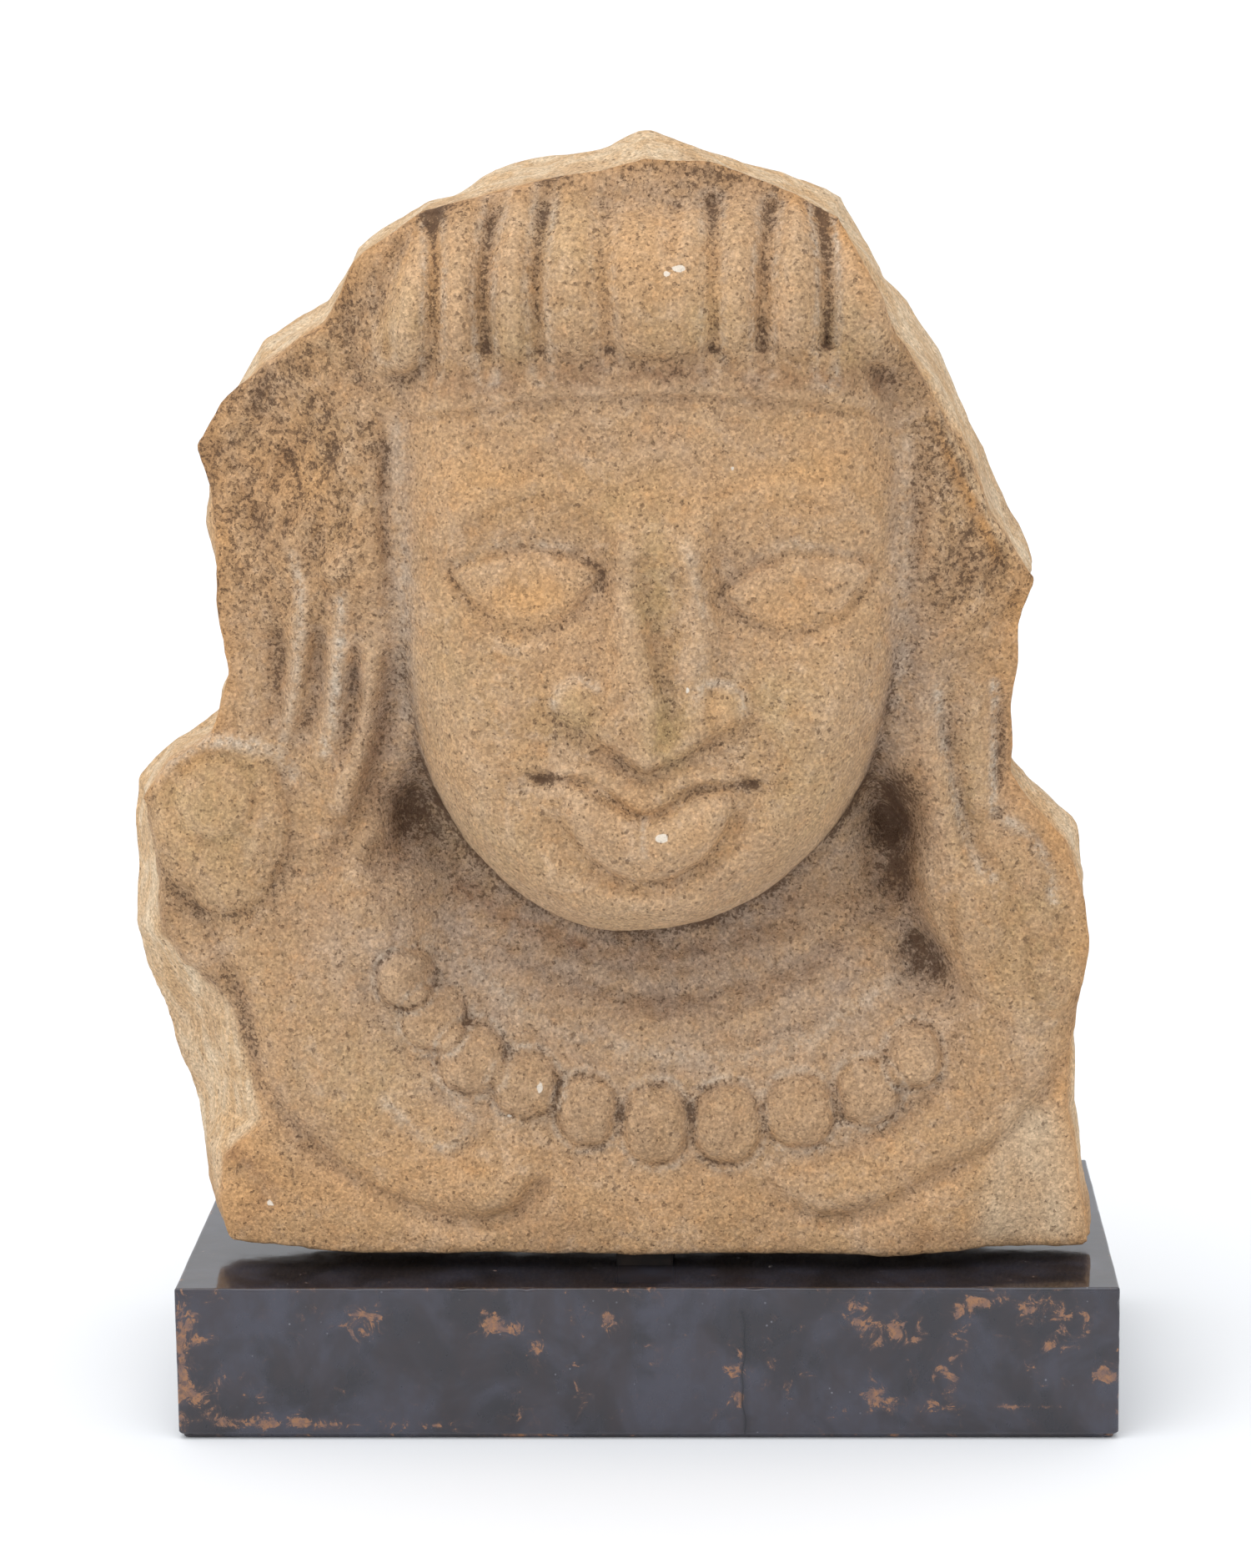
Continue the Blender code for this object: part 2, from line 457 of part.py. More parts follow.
def value_noise(points, size, seed):
    """Smooth random values from -1 to 1, on a lattice of that cell size."""
    scaled = points / size
    corner = np.floor(scaled).astype(np.int64)
    t = scaled - corner
    t = t * t * (3.0 - 2.0 * t)
    found = np.zeros(len(points))
    for i in (0, 1):
        for j in (0, 1):
            for k in (0, 1):
                key = (corner + (i, j, k)) * (73856093, 19349663, 83492791)
                mixed = (key[:, 0] ^ key[:, 1] ^ key[:, 2] ^ (seed * 2654435761)) & 0xFFFFFFFF
                mixed = (mixed ^ (mixed >> 15)) * 2246822519 & 0xFFFFFFFF
                mixed = (mixed ^ (mixed >> 13)) * 3266489917 & 0xFFFFFFFF
                weight = np.abs(1 - i - t[:, 0]) * np.abs(1 - j - t[:, 1]) * np.abs(1 - k - t[:, 2])
                found += weight * (((mixed ^ (mixed >> 16)) & 0xFFFF) / 32767.5 - 1.0)
    return found


def break_surface(points, normals):
    """Points of the stone with its broken sides, back and bed made uneven, and the hair beside the face worn."""
    depth = relief(points[:, 0], points[:, 2])
    broken = smooth_step(2.0, 12.0, points[:, 1] + depth)
    back = smooth_step(0.0, 15.0, points[:, 1])
    uneven = 3.2 * value_noise(points, 34.0, 1) + 1.6 * (1.0 - back) * value_noise(points, 15.0, 2)
    on_bed = smooth_step(12.0, 3.0, points[:, 2])
    beside = smooth_step(76.0, 92.0, np.abs(points[:, 0] - 4.0)) * smooth_step(165.0, 215.0, points[:, 2])
    worn = 0.8 * value_noise(points, 27.0, 4) + (0.45 + 1.4 * beside) * value_noise(points, 13.0, 3)
    return points + normals * (broken * uneven * (1.0 - 0.8 * on_bed) + (1.0 - broken) * worn)[:, None]


def stone_mesh(voxel):
    """The broken and carved stone's surface, in carving units, as points and quads."""
    ranges = [np.arange(low, high, voxel) for low, high in ((-180, 160), (-124, 44), (-9, 372))]
    field = stone_field(*ranges)
    start = np.array([r[0] for r in ranges])
    points, quads = surface_net(field, start, voxel)
    cross = np.cross(points[quads[:, 2]] - points[quads[:, 0]], points[quads[:, 3]] - points[quads[:, 1]])
    normals = np.zeros(points.shape)
    for c in range(3):
        for corner in quads.T:
            normals[:, c] += np.bincount(corner, cross[:, c], len(points))
    normals /= np.linalg.norm(normals, axis=1)[:, None] + 1e-12
    return break_surface(points, normals), quads


def material(name, colour, roughness, metallic=0.0):
    made = bpy.data.materials.new(name)
    made.use_nodes = True
    shader = made.node_tree.nodes["Principled BSDF"]
    shader.inputs["Base Color"].default_value = (*colour, 1.0)
    shader.inputs["Roughness"].default_value = roughness
    shader.inputs["Metallic"].default_value = metallic
    return made


def new_object(name, points, faces, finish=None):
    mesh = bpy.data.meshes.new(name)
    mesh.from_pydata([tuple(p) for p in points], [], [tuple(f) for f in faces])
    made = bpy.data.objects.new(name, mesh)
    bpy.context.scene.collection.objects.link(made)
    if finish:
        mesh.materials.append(finish)
    return made


def block(name, low, high, finish=None):
    """A square-cornered box between two corners."""
    made = new_object(name, [], [], finish)
    solid = bmesh.new()
    bmesh.ops.create_cube(solid, size=1.0)
    low, high = np.array(low), np.array(high)
    for vert in solid.verts:
        vert.co = (np.array(vert.co) + 0.5) * (high - low) + low
    solid.to_mesh(made.data)
    solid.free()
    return made


def bevel_edges(made, width, segments, wanted):
    """Bevels the edges whose two ends satisfy a test of their heights."""
    solid = bmesh.new()
    solid.from_mesh(made.data)
    edges = [e for e in solid.edges if wanted(e.verts[0].co.z, e.verts[1].co.z)]
    bmesh.ops.bevel(solid, geom=edges, offset=width, segments=segments, profile=0.5, affect="EDGES")
    solid.to_mesh(made.data)
    solid.free()


def cut_socket(made, name, low, high):
    cutter = block(name, low, high)
    cutter.hide_render = True
    cutter.display_type = "WIRE"
    cut = made.modifiers.new("socket", "BOOLEAN")
    cut.operation = "DIFFERENCE"
    cut.object = cutter


POST_X, POST_Y = -POST_LEFT_OF_CENTRE, -POST_AHEAD_OF_CENTRE
SOCKET_HALF = POST_WIDTH / 2 + FIT_CLEARANCE
STONE_BED = BASE_HEIGHT + STONE_GAP


def build_base():
    finish = material("bronzed_lacquer", (0.075, 0.072, 0.078), 0.28)
    low = (-BASE_WIDTH / 2, -BASE_DEPTH / 2, 0.0)
    base = block("base_block", low, (BASE_WIDTH / 2, BASE_DEPTH / 2, BASE_HEIGHT), finish)
    tiny = BASE_HEIGHT * 1e-3
    bevel_edges(base, BASE_FOOT_CHAMFER, 1, lambda a, b: a < tiny and b < tiny)
    bevel_edges(base, BASE_EDGE_ROUND, 2, lambda a, b: max(a, b) > BASE_HEIGHT - tiny)
    floor = BASE_HEIGHT - POST_SEAT_IN_BASE - FIT_CLEARANCE
    above = BASE_HEIGHT + STONE_GAP
    cut_socket(
        base, "base_socket",
        (POST_X - SOCKET_HALF, POST_Y - SOCKET_HALF, floor), (POST_X + SOCKET_HALF, POST_Y + SOCKET_HALF, above),
    )
    return base


def build_post():
    finish = material("blackened_steel", (0.02, 0.018, 0.018), 0.45, 0.8)
    half = POST_WIDTH / 2
    foot, head = BASE_HEIGHT - POST_SEAT_IN_BASE, STONE_BED + POST_SEAT_IN_STONE
    post = block("mount_post", (POST_X - half, POST_Y - half, foot), (POST_X + half, POST_Y + half, head), finish)
    bevel_edges(post, POST_EDGE_ROUND, 1, lambda a, b: True)
    return post


def build_stone():
    finish = material("sandstone", (0.47, 0.32, 0.18), 0.9)
    points, quads = stone_mesh(VOXEL)
    seat = np.array([*SEAT, 0.0])
    place = np.array([POST_X, POST_Y, STONE_BED])
    stone = new_object("stone_bust", (points - seat) * UNIT + place, quads, finish)
    thin = stone.modifiers.new("fewer_faces", "DECIMATE")
    thin.ratio = STONE_TRIANGLES / (2 * len(quads))
    cut_socket(
        stone, "stone_socket",
        (POST_X - SOCKET_HALF, POST_Y - SOCKET_HALF, BASE_HEIGHT),
        (POST_X + SOCKET_HALF, POST_Y + SOCKET_HALF, STONE_BED + POST_SEAT_IN_STONE + FIT_CLEARANCE),
    )
    stone.data.shade_smooth()
    return stone


def main():
    for old in list(bpy.data.objects):
        bpy.data.objects.remove(old)
    build_base()
    build_post()
    build_stone()


main()
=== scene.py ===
"""A broken sandstone bust of Shiva on a square post in a lacquered block.

One carving unit is a millimetre on a stone 361 mm high. The carving is laid out in those units, with x to the
right, z up from the stone's bed and "depth" towards the viewer, so the front surface is y = -depth(x, z).
"""

import math

import bpy
import numpy as np
from mathutils import Matrix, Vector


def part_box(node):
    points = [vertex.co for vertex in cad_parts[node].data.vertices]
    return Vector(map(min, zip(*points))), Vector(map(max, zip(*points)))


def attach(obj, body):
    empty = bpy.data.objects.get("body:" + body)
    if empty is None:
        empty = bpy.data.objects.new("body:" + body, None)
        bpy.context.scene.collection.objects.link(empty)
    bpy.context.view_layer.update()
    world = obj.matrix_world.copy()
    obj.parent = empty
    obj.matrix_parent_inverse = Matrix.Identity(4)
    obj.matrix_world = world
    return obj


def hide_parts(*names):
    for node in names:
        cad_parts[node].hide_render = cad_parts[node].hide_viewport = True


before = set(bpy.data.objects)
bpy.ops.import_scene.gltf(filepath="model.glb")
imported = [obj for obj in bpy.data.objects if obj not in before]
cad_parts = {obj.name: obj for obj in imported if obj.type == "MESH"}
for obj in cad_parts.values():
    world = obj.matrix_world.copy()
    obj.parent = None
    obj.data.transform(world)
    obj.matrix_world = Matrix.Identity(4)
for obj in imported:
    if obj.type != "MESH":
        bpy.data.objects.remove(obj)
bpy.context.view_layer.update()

# Metres, as in the solids.
STONE_HEIGHT = 0.361
STONE_GAP = 0.006
BASE_WIDTH = 0.305
BASE_DEPTH = 0.155
BASE_HEIGHT = 0.051
BASE_FOOT_CHAMFER = 0.0025
POST_WIDTH = 0.0185
POST_SEAT_IN_BASE = 0.020
POST_SEAT_IN_STONE = 0.025
POST_X, POST_Y = -0.001, -0.042
FIT_CLEARANCE = 0.0003
STONE_BED = BASE_HEIGHT + STONE_GAP

# The stone's free form, in carving units.
STONE_UNITS = 361.0
UNIT = STONE_HEIGHT / STONE_UNITS
HALF_POST = POST_WIDTH * 500.0
SEAT = (-1.0, -42.0)
BACK_DEPTH = -28.0
OUTLINE_DEPTH = 20.0
SOCKET_ROOM = 0.7
STONE_ROOM = ((-180, 160), (-124, 44), (-9, 372))
STONE_VOXEL, QUICK_VOXEL = 1.3, 2.2
STONE_TRIANGLES = 194000

FACE_LEFT, FACE_RIGHT = -76.5, 84.5
JAW_TOP, CHIN = 203.0, 106.0
HEAD_MIDDLE, CROWN_MIDDLE = 4.0, 6.0
HAIRLINE, CAP_FOOT, LOCK_ROUND = 282.0, 291.0, 4.4
NOSE_ROOT = 243.0
EYES = [(-10.5, 228.0, -57.5, 228.0, 7.0, 18.0), (26.0, 221.0, 74.0, 227.5, 8.5, 15.0)]
MOUTH = [
    (-31, 164.3), (-23, 164.7), (-15, 162.9), (-6, 156.6), (2.5, 152.4), (10.5, 155.6), (18, 161.2),
    (36, 162),
]
LIP_TOP = [
    (-27, 166.5), (-19, 170), (-10, 169.4), (-2.5, 166), (3, 163.5), (9, 166), (16, 168.5), (25, 168),
    (32, 165),
]
NOSE_EDGE = [
    (-27, 187), (-24, 183), (-14, 177.2), (-7, 173.5), (-1, 168.7), (3, 167), (9, 169.9), (21, 175.2),
    (33, 181.5),
]

# Broken outline seen from the front: x, z and how far the front edge stands in from it.
OUTLINE = [
    (-142.5, -12, 9), (-147.2, 16, 8), (-148, 31, 10), (-149.2, 41, 27), (-152.8, 55, 28), (-159.5, 72, 30),
    (-166.5, 89, 22), (-170, 104, 15), (-169.2, 122, 14), (-169.9, 140, 12), (-168.1, 152.4, 8),
    (-154.6, 164.6, 3), (-140.2, 173, 2), (-136, 191, 4), (-139, 215, 4), (-136.8, 236, 2),
    (-137.2, 247, 2), (-141.8, 265, 2), (-134.2, 279.5, 3), (-121.3, 297, 7), (-101.8, 308, 6),
    (-89.7, 324, 3), (-67, 341.5, 3), (-34, 349, 3), (-10, 354.5, 3), (2.6, 361, 6), (23.3, 353.8, 1),
    (45.2, 347.6, 2), (64, 338, 1), (73.6, 322.5, 2), (77.2, 313, 1), (85, 305.6, 7), (95.9, 290.2, 8),
    (104.3, 270, 6), (116.3, 245.6, 7), (124, 229.2, 5), (126.8, 221, 2), (119.8, 197, 1), (118.2, 178, 1),
    (118.6, 158, 1), (123.4, 150.8, 1), (137.4, 136.5, 2), (143.3, 117.2, 2), (144.8, 98, 2),
    (140.1, 66.5, 3), (139.9, 45.2, 3), (144, 18, 3), (149.5, -12, 3),
]

# Grooves between the upright locks over the brow: how deep they are cut, and points.
CAP_GROOVES = [
    (3.5, [(-77, 296), (-77.5, 318), (-72, 332)]), (6.0, [(-62.3, 290), (-60.8, 320), (-62, 338)]),
    (7.0, [(-44.8, 290), (-45.8, 320), (-41.5, 346)]), (5.5, [(-28.3, 290), (-29.3, 320), (-26.5, 348)]),
    (3.6, [(-7, 294), (-9.2, 324), (-6.7, 346)]), (2.4, [(12, 328), (14, 344)]),
    (4.2, [(23.9, 290), (24.7, 318), (24.2, 342)]), (6.0, [(39.4, 290), (40.1, 320), (42.5, 340)]),
    (7.5, [(58.7, 288), (59.7, 320), (57.5, 340)]),
]

# Long locks and cuts beside the neck: height, half width and points.
SIDE_STROKES = [
    (3.8, 4.6, [(-111, 231), (-108, 222), (-108, 208), (-110.5, 191), (-113, 178), (-116, 166)]),
    (4.0, 4.6, [(-94, 220), (-95, 205), (-97, 191), (-98.5, 178), (-102, 167), (-109, 152)]),
    (3.6, 4.6, [(-82, 214), (-85, 198), (-87, 184), (-89.5, 169), (-96, 153), (-103, 142)]),
    (2.4, 4.0, [(-85, 272), (-95, 257), (-101, 246), (-108, 235)]),
    (2.4, 4.0, [(-82, 246), (-92, 230), (-101, 223)]),
    (3.4, 7.0, [(-92, 146), (-92, 128), (-91, 110)]),
    (3.6, 7.0, [(87, 202), (90, 174), (94, 150), (99, 130), (104, 112), (107, 96)]),
    (2.6, 5.0, [(105, 196), (106, 172), (108, 153), (111, 143)]),
    (-2.6, 2.8, [(-116, 213), (-115.5, 194), (-117, 180), (-119, 168)]),
    (-3.2, 3.0, [(-101, 218), (-101.5, 203), (-103.5, 191), (-107, 177), (-113, 166)]),
    (-3.0, 2.8, [(-88.5, 206), (-90.5, 191), (-92.5, 180), (-96, 166)]),
    (-4.6, 4.4, [(-77, 206), (-78.5, 190), (-81, 176), (-85, 162), (-90, 148), (-99, 133), (-108, 119)]),
    (-2.8, 2.6, [(95.5, 190), (96.7, 174), (99.7, 158.6), (104.3, 140.3), (108, 131), (113, 125)]),
    (-2.8, 2.8, [(114, 190), (114.7, 176), (114, 161), (114, 146)]),
    (-2.4, 2.6, [(-78, 280), (-78.5, 252), (-78, 225), (-77, 205)]),
    (-2.4, 2.6, [(86.5, 280), (87, 250), (86.5, 222), (86, 200), (83, 176)]),
]

# Hollows between the head, the long locks and the neck: centre, radii and how deep.
HOLLOWS = [
    (-77, 145, 9, 11, 12), (-84, 132, 10, 9, 6), (-66, 134, 10, 8, 4), (80, 142, 9, 13, 13),
    (76, 123, 13, 16, 9), (84, 137, 4.5, 8, 5), (81, 118, 5, 5, 3), (90, 98, 9, 13, 9),
]

# Worn bands from the shoulders to under the necklace.
COLLAR_EDGES = [
    [(-147, 120), (-134, 93), (-128, 73), (-123, 53), (-101, 29.7), (-72, 13.5), (-56, 11), (-43, 14),
     (-35, 23)],
    [(141, 84), (136, 62), (118, 39), (89, 22.5), (76, 14.5), (63, 12), (50, 14.5), (39.5, 23)],
]
COLLAR_FOLDS = [
    [(-90, 90), (-85, 78), (-75, 62), (-62, 49), (-53, 42), (-60, 34.5), (-53, 30)],
    [(96, 57), (83, 46), (70, 38), (57, 33), (44, 29.5)],
]
COLLAR_BANDS = [
    [(-128, 102), (-109, 72), (-95, 48), (-74, 30), (-50, 25)],
    [(122, 68), (105, 45), (84, 31), (56, 22)],
]

# The necklace's beads: centre and radii.
BEADS = [
    (-77, 92, 9, 9), (-68, 79, 10, 10), (-56, 66, 10.5, 11), (-38.5, 57, 10.5, 10.5),
    (-19, 48.5, 9.6, 11.5), (3.5, 44, 10.6, 13), (26.5, 44, 10.8, 13), (50, 48.5, 10.8, 11.5),
    (72, 54.5, 10, 10.5), (87, 66, 8.5, 10),
]


def smooth_step(low, high, value):
    t = np.clip((value - low) / (high - low), 0.0, 1.0)
    return t * t * (3.0 - 2.0 * t)


def smooth_max(a, b, blend):
    share = np.clip(0.5 + 0.5 * (a - b) / blend, 0.0, 1.0)
    return b + (a - b) * share + blend * share * (1.0 - share)


def quarter_round(t):
    """0 at a rim and 1 from t = 1 inwards, with a round shoulder."""
    inner = 1.0 - np.clip(t, 0.0, 1.0)
    return np.sqrt(1.0 - inner * inner)


def bell(off, width):
    return np.exp(-((off / width) ** 2))


def mound(x, z, centre_x, centre_z, radius_x, radius_z):
    return np.exp(-(((x - centre_x) / radius_x) ** 2) - ((z - centre_z) / radius_z) ** 2)


def dome(x, z, centre_x, centre_z, radius_x, radius_z, power=2.0):
    reach = np.abs((x - centre_x) / radius_x) ** power + np.abs((z - centre_z) / radius_z) ** power
    return np.sqrt(np.clip(1.0 - reach, 0.0, 1.0))


def curve_through(points, steps=5):
    """A Catmull-Rom curve through the points."""
    p = np.array([points[0], *points, points[-1]], float)
    found = []
    for a, b, c, d in zip(p, p[1:], p[2:], p[3:]):
        for t in np.arange(steps) / steps:
            found.append(0.5 * (
                2 * b + (c - a) * t
                + (2 * a - 5 * b + 4 * c - d) * t**2 + (3 * b - a - 3 * c + d) * t**3
            ))
    return np.array([*found, p[-1]])


def distance_to(x, z, points):
    """Distance to a run of straight pieces, and how far along the run its nearest point is, from 0 to 1."""
    nearest, along = np.full(x.shape, 1e9), np.zeros(x.shape)
    for i, ((ax, az), (bx, bz)) in enumerate(zip(points, points[1:])):
        dx, dz = bx - ax, bz - az
        t = np.clip(((x - ax) * dx + (z - az) * dz) / (dx * dx + dz * dz + 1e-9), 0.0, 1.0)
        away = np.hypot(x - ax - t * dx, z - az - t * dz)
        along = np.where(away < nearest, (i + t) / (len(points) - 1), along)
        nearest = np.minimum(nearest, away)
    return nearest, along


def line_mound(x, z, points, half_width, taper=0.0):
    """1 along a curve, fading to 0 beside it and over a share of it at each end."""
    away, along = distance_to(x, z, curve_through(points))
    fade = smooth_step(-0.01, taper, np.minimum(along, 1.0 - along)) if taper else 1.0
    return bell(away, half_width) * fade


def outline_distance(x, z):
    """Signed distance to the broken outline, negative inside, and the front edge's set-in nearest there."""
    nearest = np.full(x.shape, 1e9)
    set_in = np.zeros(x.shape)
    inside = np.zeros(x.shape, bool)
    for (ax, az, a_in), (bx, bz, b_in) in zip(OUTLINE, OUTLINE[1:] + OUTLINE[:1]):
        dx, dz = bx - ax, bz - az
        t = np.clip(((x - ax) * dx + (z - az) * dz) / (dx * dx + dz * dz), 0.0, 1.0)
        away = np.hypot(x - ax - t * dx, z - az - t * dz)
        closer = away < nearest
        nearest = np.where(closer, away, nearest)
        set_in = np.where(closer, a_in + t * (b_in - a_in), set_in)
        if az != bz:
            inside ^= ((az > z) != (bz > z)) & (x < dx * (z - az) / dz + ax)
    return np.where(inside, -nearest, nearest), set_in


def ground(x, z):
    """Worn hair beside the head, neck and chest, before anything stands out from them."""
    beside = bell(np.clip(np.abs(x - HEAD_MIDDLE) - 78.0, 0.0, None), 42.0)
    upper = smooth_step(165.0, 228.0, z) * (1.0 - 0.15 * smooth_step(290.0, 310.0, z))
    hair = 50.0 + (10.0 + 16.0 * upper) * beside + 4.0 * smooth_step(250.0, 310.0, z)
    chest = 60.0 - 7.0 * smooth_step(90.0, 165.0, np.abs(x + 5.0)) - 2.0 * smooth_step(55.0, 100.0, z)
    depth = chest + (hair - chest) * smooth_step(80.0, 165.0, z)
    wall = np.interp(z, (60.0, 85.0, 105.0, 121.0, 140.0, 160.0), (116.0, 109.0, 97.0, 93.0, 88.0, 84.0))
    shore = np.interp(z, (80.0, 100.0, 125.0, 150.0), (-84.0, -82.0, -84.0, -90.0))
    throat = smooth_step(0.0, 22.0, x - shore) * smooth_step(-1.0, 12.0, wall - x)
    depth -= 14.0 * throat * smooth_step(58.0, 116.0, z) * smooth_step(178.0, 150.0, z)
    for hollow_x, hollow_z, radius_x, radius_z, deep in HOLLOWS:
        depth -= deep * mound(x, z, hollow_x, hollow_z, radius_x, radius_z)
    return depth


def collar(x, z):
    """Broad worn bands that come down from the shoulders and end in curled knobs under the necklace."""
    raised = 2.6 * dome(x, z, -50.0, 26.0, 17.0, 13.0) ** 1.4
    raised += 2.2 * dome(x, z, 56.0, 24.0, 20.0, 11.0) ** 1.4
    for band in COLLAR_BANDS:
        raised += 2.6 * line_mound(x, z, band, 15.0)
    for edge in COLLAR_EDGES:
        raised -= 3.0 * line_mound(x, z, edge, 3.6)
    for fold in COLLAR_FOLDS:
        raised -= 1.8 * line_mound(x, z, fold, 2.8)
    return raised


def necklace(x, z):
    """Flattened beads side by side, each with a worn rim cut round it."""
    raised = 2.0 * line_mound(x, z, [bead[:2] for bead in BEADS], 11.0)
    for bead_x, bead_z, radius_x, radius_z in BEADS:
        rim = mound(x, z, bead_x, bead_z, radius_x + 2.0, radius_z + 2.0)
        bead = dome(x, z, bead_x, bead_z, radius_x, radius_z, 2.5) ** 1.3
        raised = np.maximum(raised - 2.0 * rim * (bead < 0.02), -1.0) + 4.2 * bead
    return raised


def corner_chip(x, z, edge_to, low_from, low_to):
    """1 over the chipped lower corner of the chest."""
    on_slope = smooth_step(-3.0, edge_to, x - 104.0 - 0.25 * z)
    return on_slope * smooth_step(low_from, low_to, z + 0.2 * (x - 125.0))


def neck_folds(x, z):
    first = [(-57, 106), (-22, 90), (10, 85), (45, 93), (77, 112)]
    second = [(-46, 96), (-20, 81), (12, 76), (46, 83), (66, 96)]
    return -1.4 * line_mound(x, z, first, 3.0) + 1.0 * line_mound(x, z, second, 4.0)


def side_strokes(x, z):
    raised, cut = np.zeros(x.shape), np.zeros(x.shape)
    for height, half_width, points in SIDE_STROKES:
        stroke = height * line_mound(x, z, points, half_width, 0.3)
        raised, cut = np.maximum(raised, stroke), np.minimum(cut, stroke)
    return raised + cut


def earrings(x, z):
    """A worn disc on a rounded mass at one shoulder, and a lobed mass at the other."""
    left = 8.0 * dome(x, z, -136.0, 143.0, 22.5, 30.0) ** 1.2 + 1.8 * dome(x, z, -138.0, 151.5, 13.0, 13.0)
    left -= 0.9 * bell(np.hypot(x + 138.0, z - 151.5) - 14.5, 2.2)
    left += 3.0 * line_mound(x, z, [(-158, 158), (-145, 168.5), (-131, 170), (-117, 166)], 4.0)
    left += 3.0 * dome(x, z, -90.0, 108.5, 9.0, 12.5)
    right = 6.5 * dome(x, z, 126.0, 112.0, 26.0, 38.0) ** 1.3
    right -= 2.2 * line_mound(x, z, [(114, 144), (119, 140), (125, 137), (130, 130), (131, 121)], 2.8)
    right -= 2.0 * line_mound(x, z, [(110, 131), (116, 122), (118, 108), (114, 94)], 3.2)
    right += 2.2 * dome(x, z, 133.0, 92.0, 8.5, 9.5)
    return left + right


def hair_level(x, z):
    """Height as read along the curved hairline."""
    return z + 0.0012 * (x - CROWN_MIDDLE) ** 2


def cap_level(x, z):
    """Height as read along the curved foot of the upright locks."""
    return z + 0.0006 * (x - CROWN_MIDDLE) ** 2


def face_mass(x, z):
    """The head as a cushion with a rounded jaw, before its features. Far below outside its outline."""
    half = (FACE_RIGHT - FACE_LEFT) / 2.0
    down = np.clip((JAW_TOP - z) / (JAW_TOP - CHIN), 0.0, 1.4)
    middle = (FACE_RIGHT + FACE_LEFT) / 2.0 - 5.0 * np.clip(down, 0.0, 1.0)
    shape = (np.abs(x - middle) / half) ** 2 + down**2 - 1.0
    slope = np.hypot(2.0 * np.abs(x - middle) / half**2, 2.0 * down / (JAW_TOP - CHIN)) + 1e-4
    inward = -shape / slope
    shoulder = 28.0 - 4.0 * smooth_step(0.3, 1.0, down)
    crown = 92.0 + 2.5 * smooth_step(282.0, 215.0, z) - 5.0 * (np.abs(x - middle) / half) ** 2.5
    crown += 1.4 * smooth_step(HAIRLINE - 1.0, HAIRLINE + 3.0, hair_level(x, z))
    foot = 36.0 + 26.0 * smooth_step(175.0, 225.0, z)
    depth = foot + (crown - foot) * quarter_round(inward / shoulder)
    return np.where(z < CAP_FOOT + 6.0, depth, -200.0) - 60.0 * (inward < 0.0)


def eye(x, z, inner_x, inner_z, outer_x, outer_z, above, below):
    """A heavy-lidded almond: socket, swelling lid, its lower edge and the crease above it."""
    across_x, across_z = outer_x - inner_x, outer_z - inner_z
    along = ((x - inner_x) * across_x + (z - inner_z) * across_z) / (across_x**2 + across_z**2) * 2.0 - 1.0
    away = (z - inner_z) - (x - inner_x) * across_z / across_x
    arch = np.clip(1.0 - along**2, 0.0, 1.0)
    upper, lower = above * arch**0.8, -below * arch**0.8
    height = np.where(away > 0, away / np.maximum(upper, 0.6), away / np.minimum(lower, -0.6))
    lid = np.clip(1.0 - height**2, 0.0, 1.0) ** 0.75 * arch**0.4
    middle_x, middle_z = (inner_x + outer_x) / 2.0, (inner_z + outer_z) / 2.0 - 3.0
    socket = 4.8 * mound(x, z, middle_x, middle_z + 2.0, 26.0, 17.0)
    span = np.linspace(-0.98, 0.98, 11)

    def arc(rise):
        return [
            (inner_x + (s + 1) / 2 * across_x, inner_z + (s + 1) / 2 * across_z + rise * (1.0 - s * s) ** 0.8)
            for s in span
        ]

    crease = 0.8 * line_mound(x, z, arc(above + 1.0), 1.7) + 0.7 * line_mound(x, z, arc(above + 4.5), 1.8)
    under = 1.1 * line_mound(x, z, arc(-below - 0.8), 2.0)
    seam = 0.7 * line_mound(x, z, arc(2.8 - below), 1.5)
    return 3.8 * lid - socket - crease - under - seam


def brows(x, z):
    left = [(-2, 236), (-5.5, 244), (-13, 251.5), (-24, 255), (-37, 254), (-50, 249), (-61, 239)]
    right = [(16.5, 237), (20, 246), (30, 251), (43, 254), (57, 253), (68, 248), (76, 239)]
    return 1.5 * (line_mound(x, z, left, 3.6) + line_mound(x, z, right, 3.6))


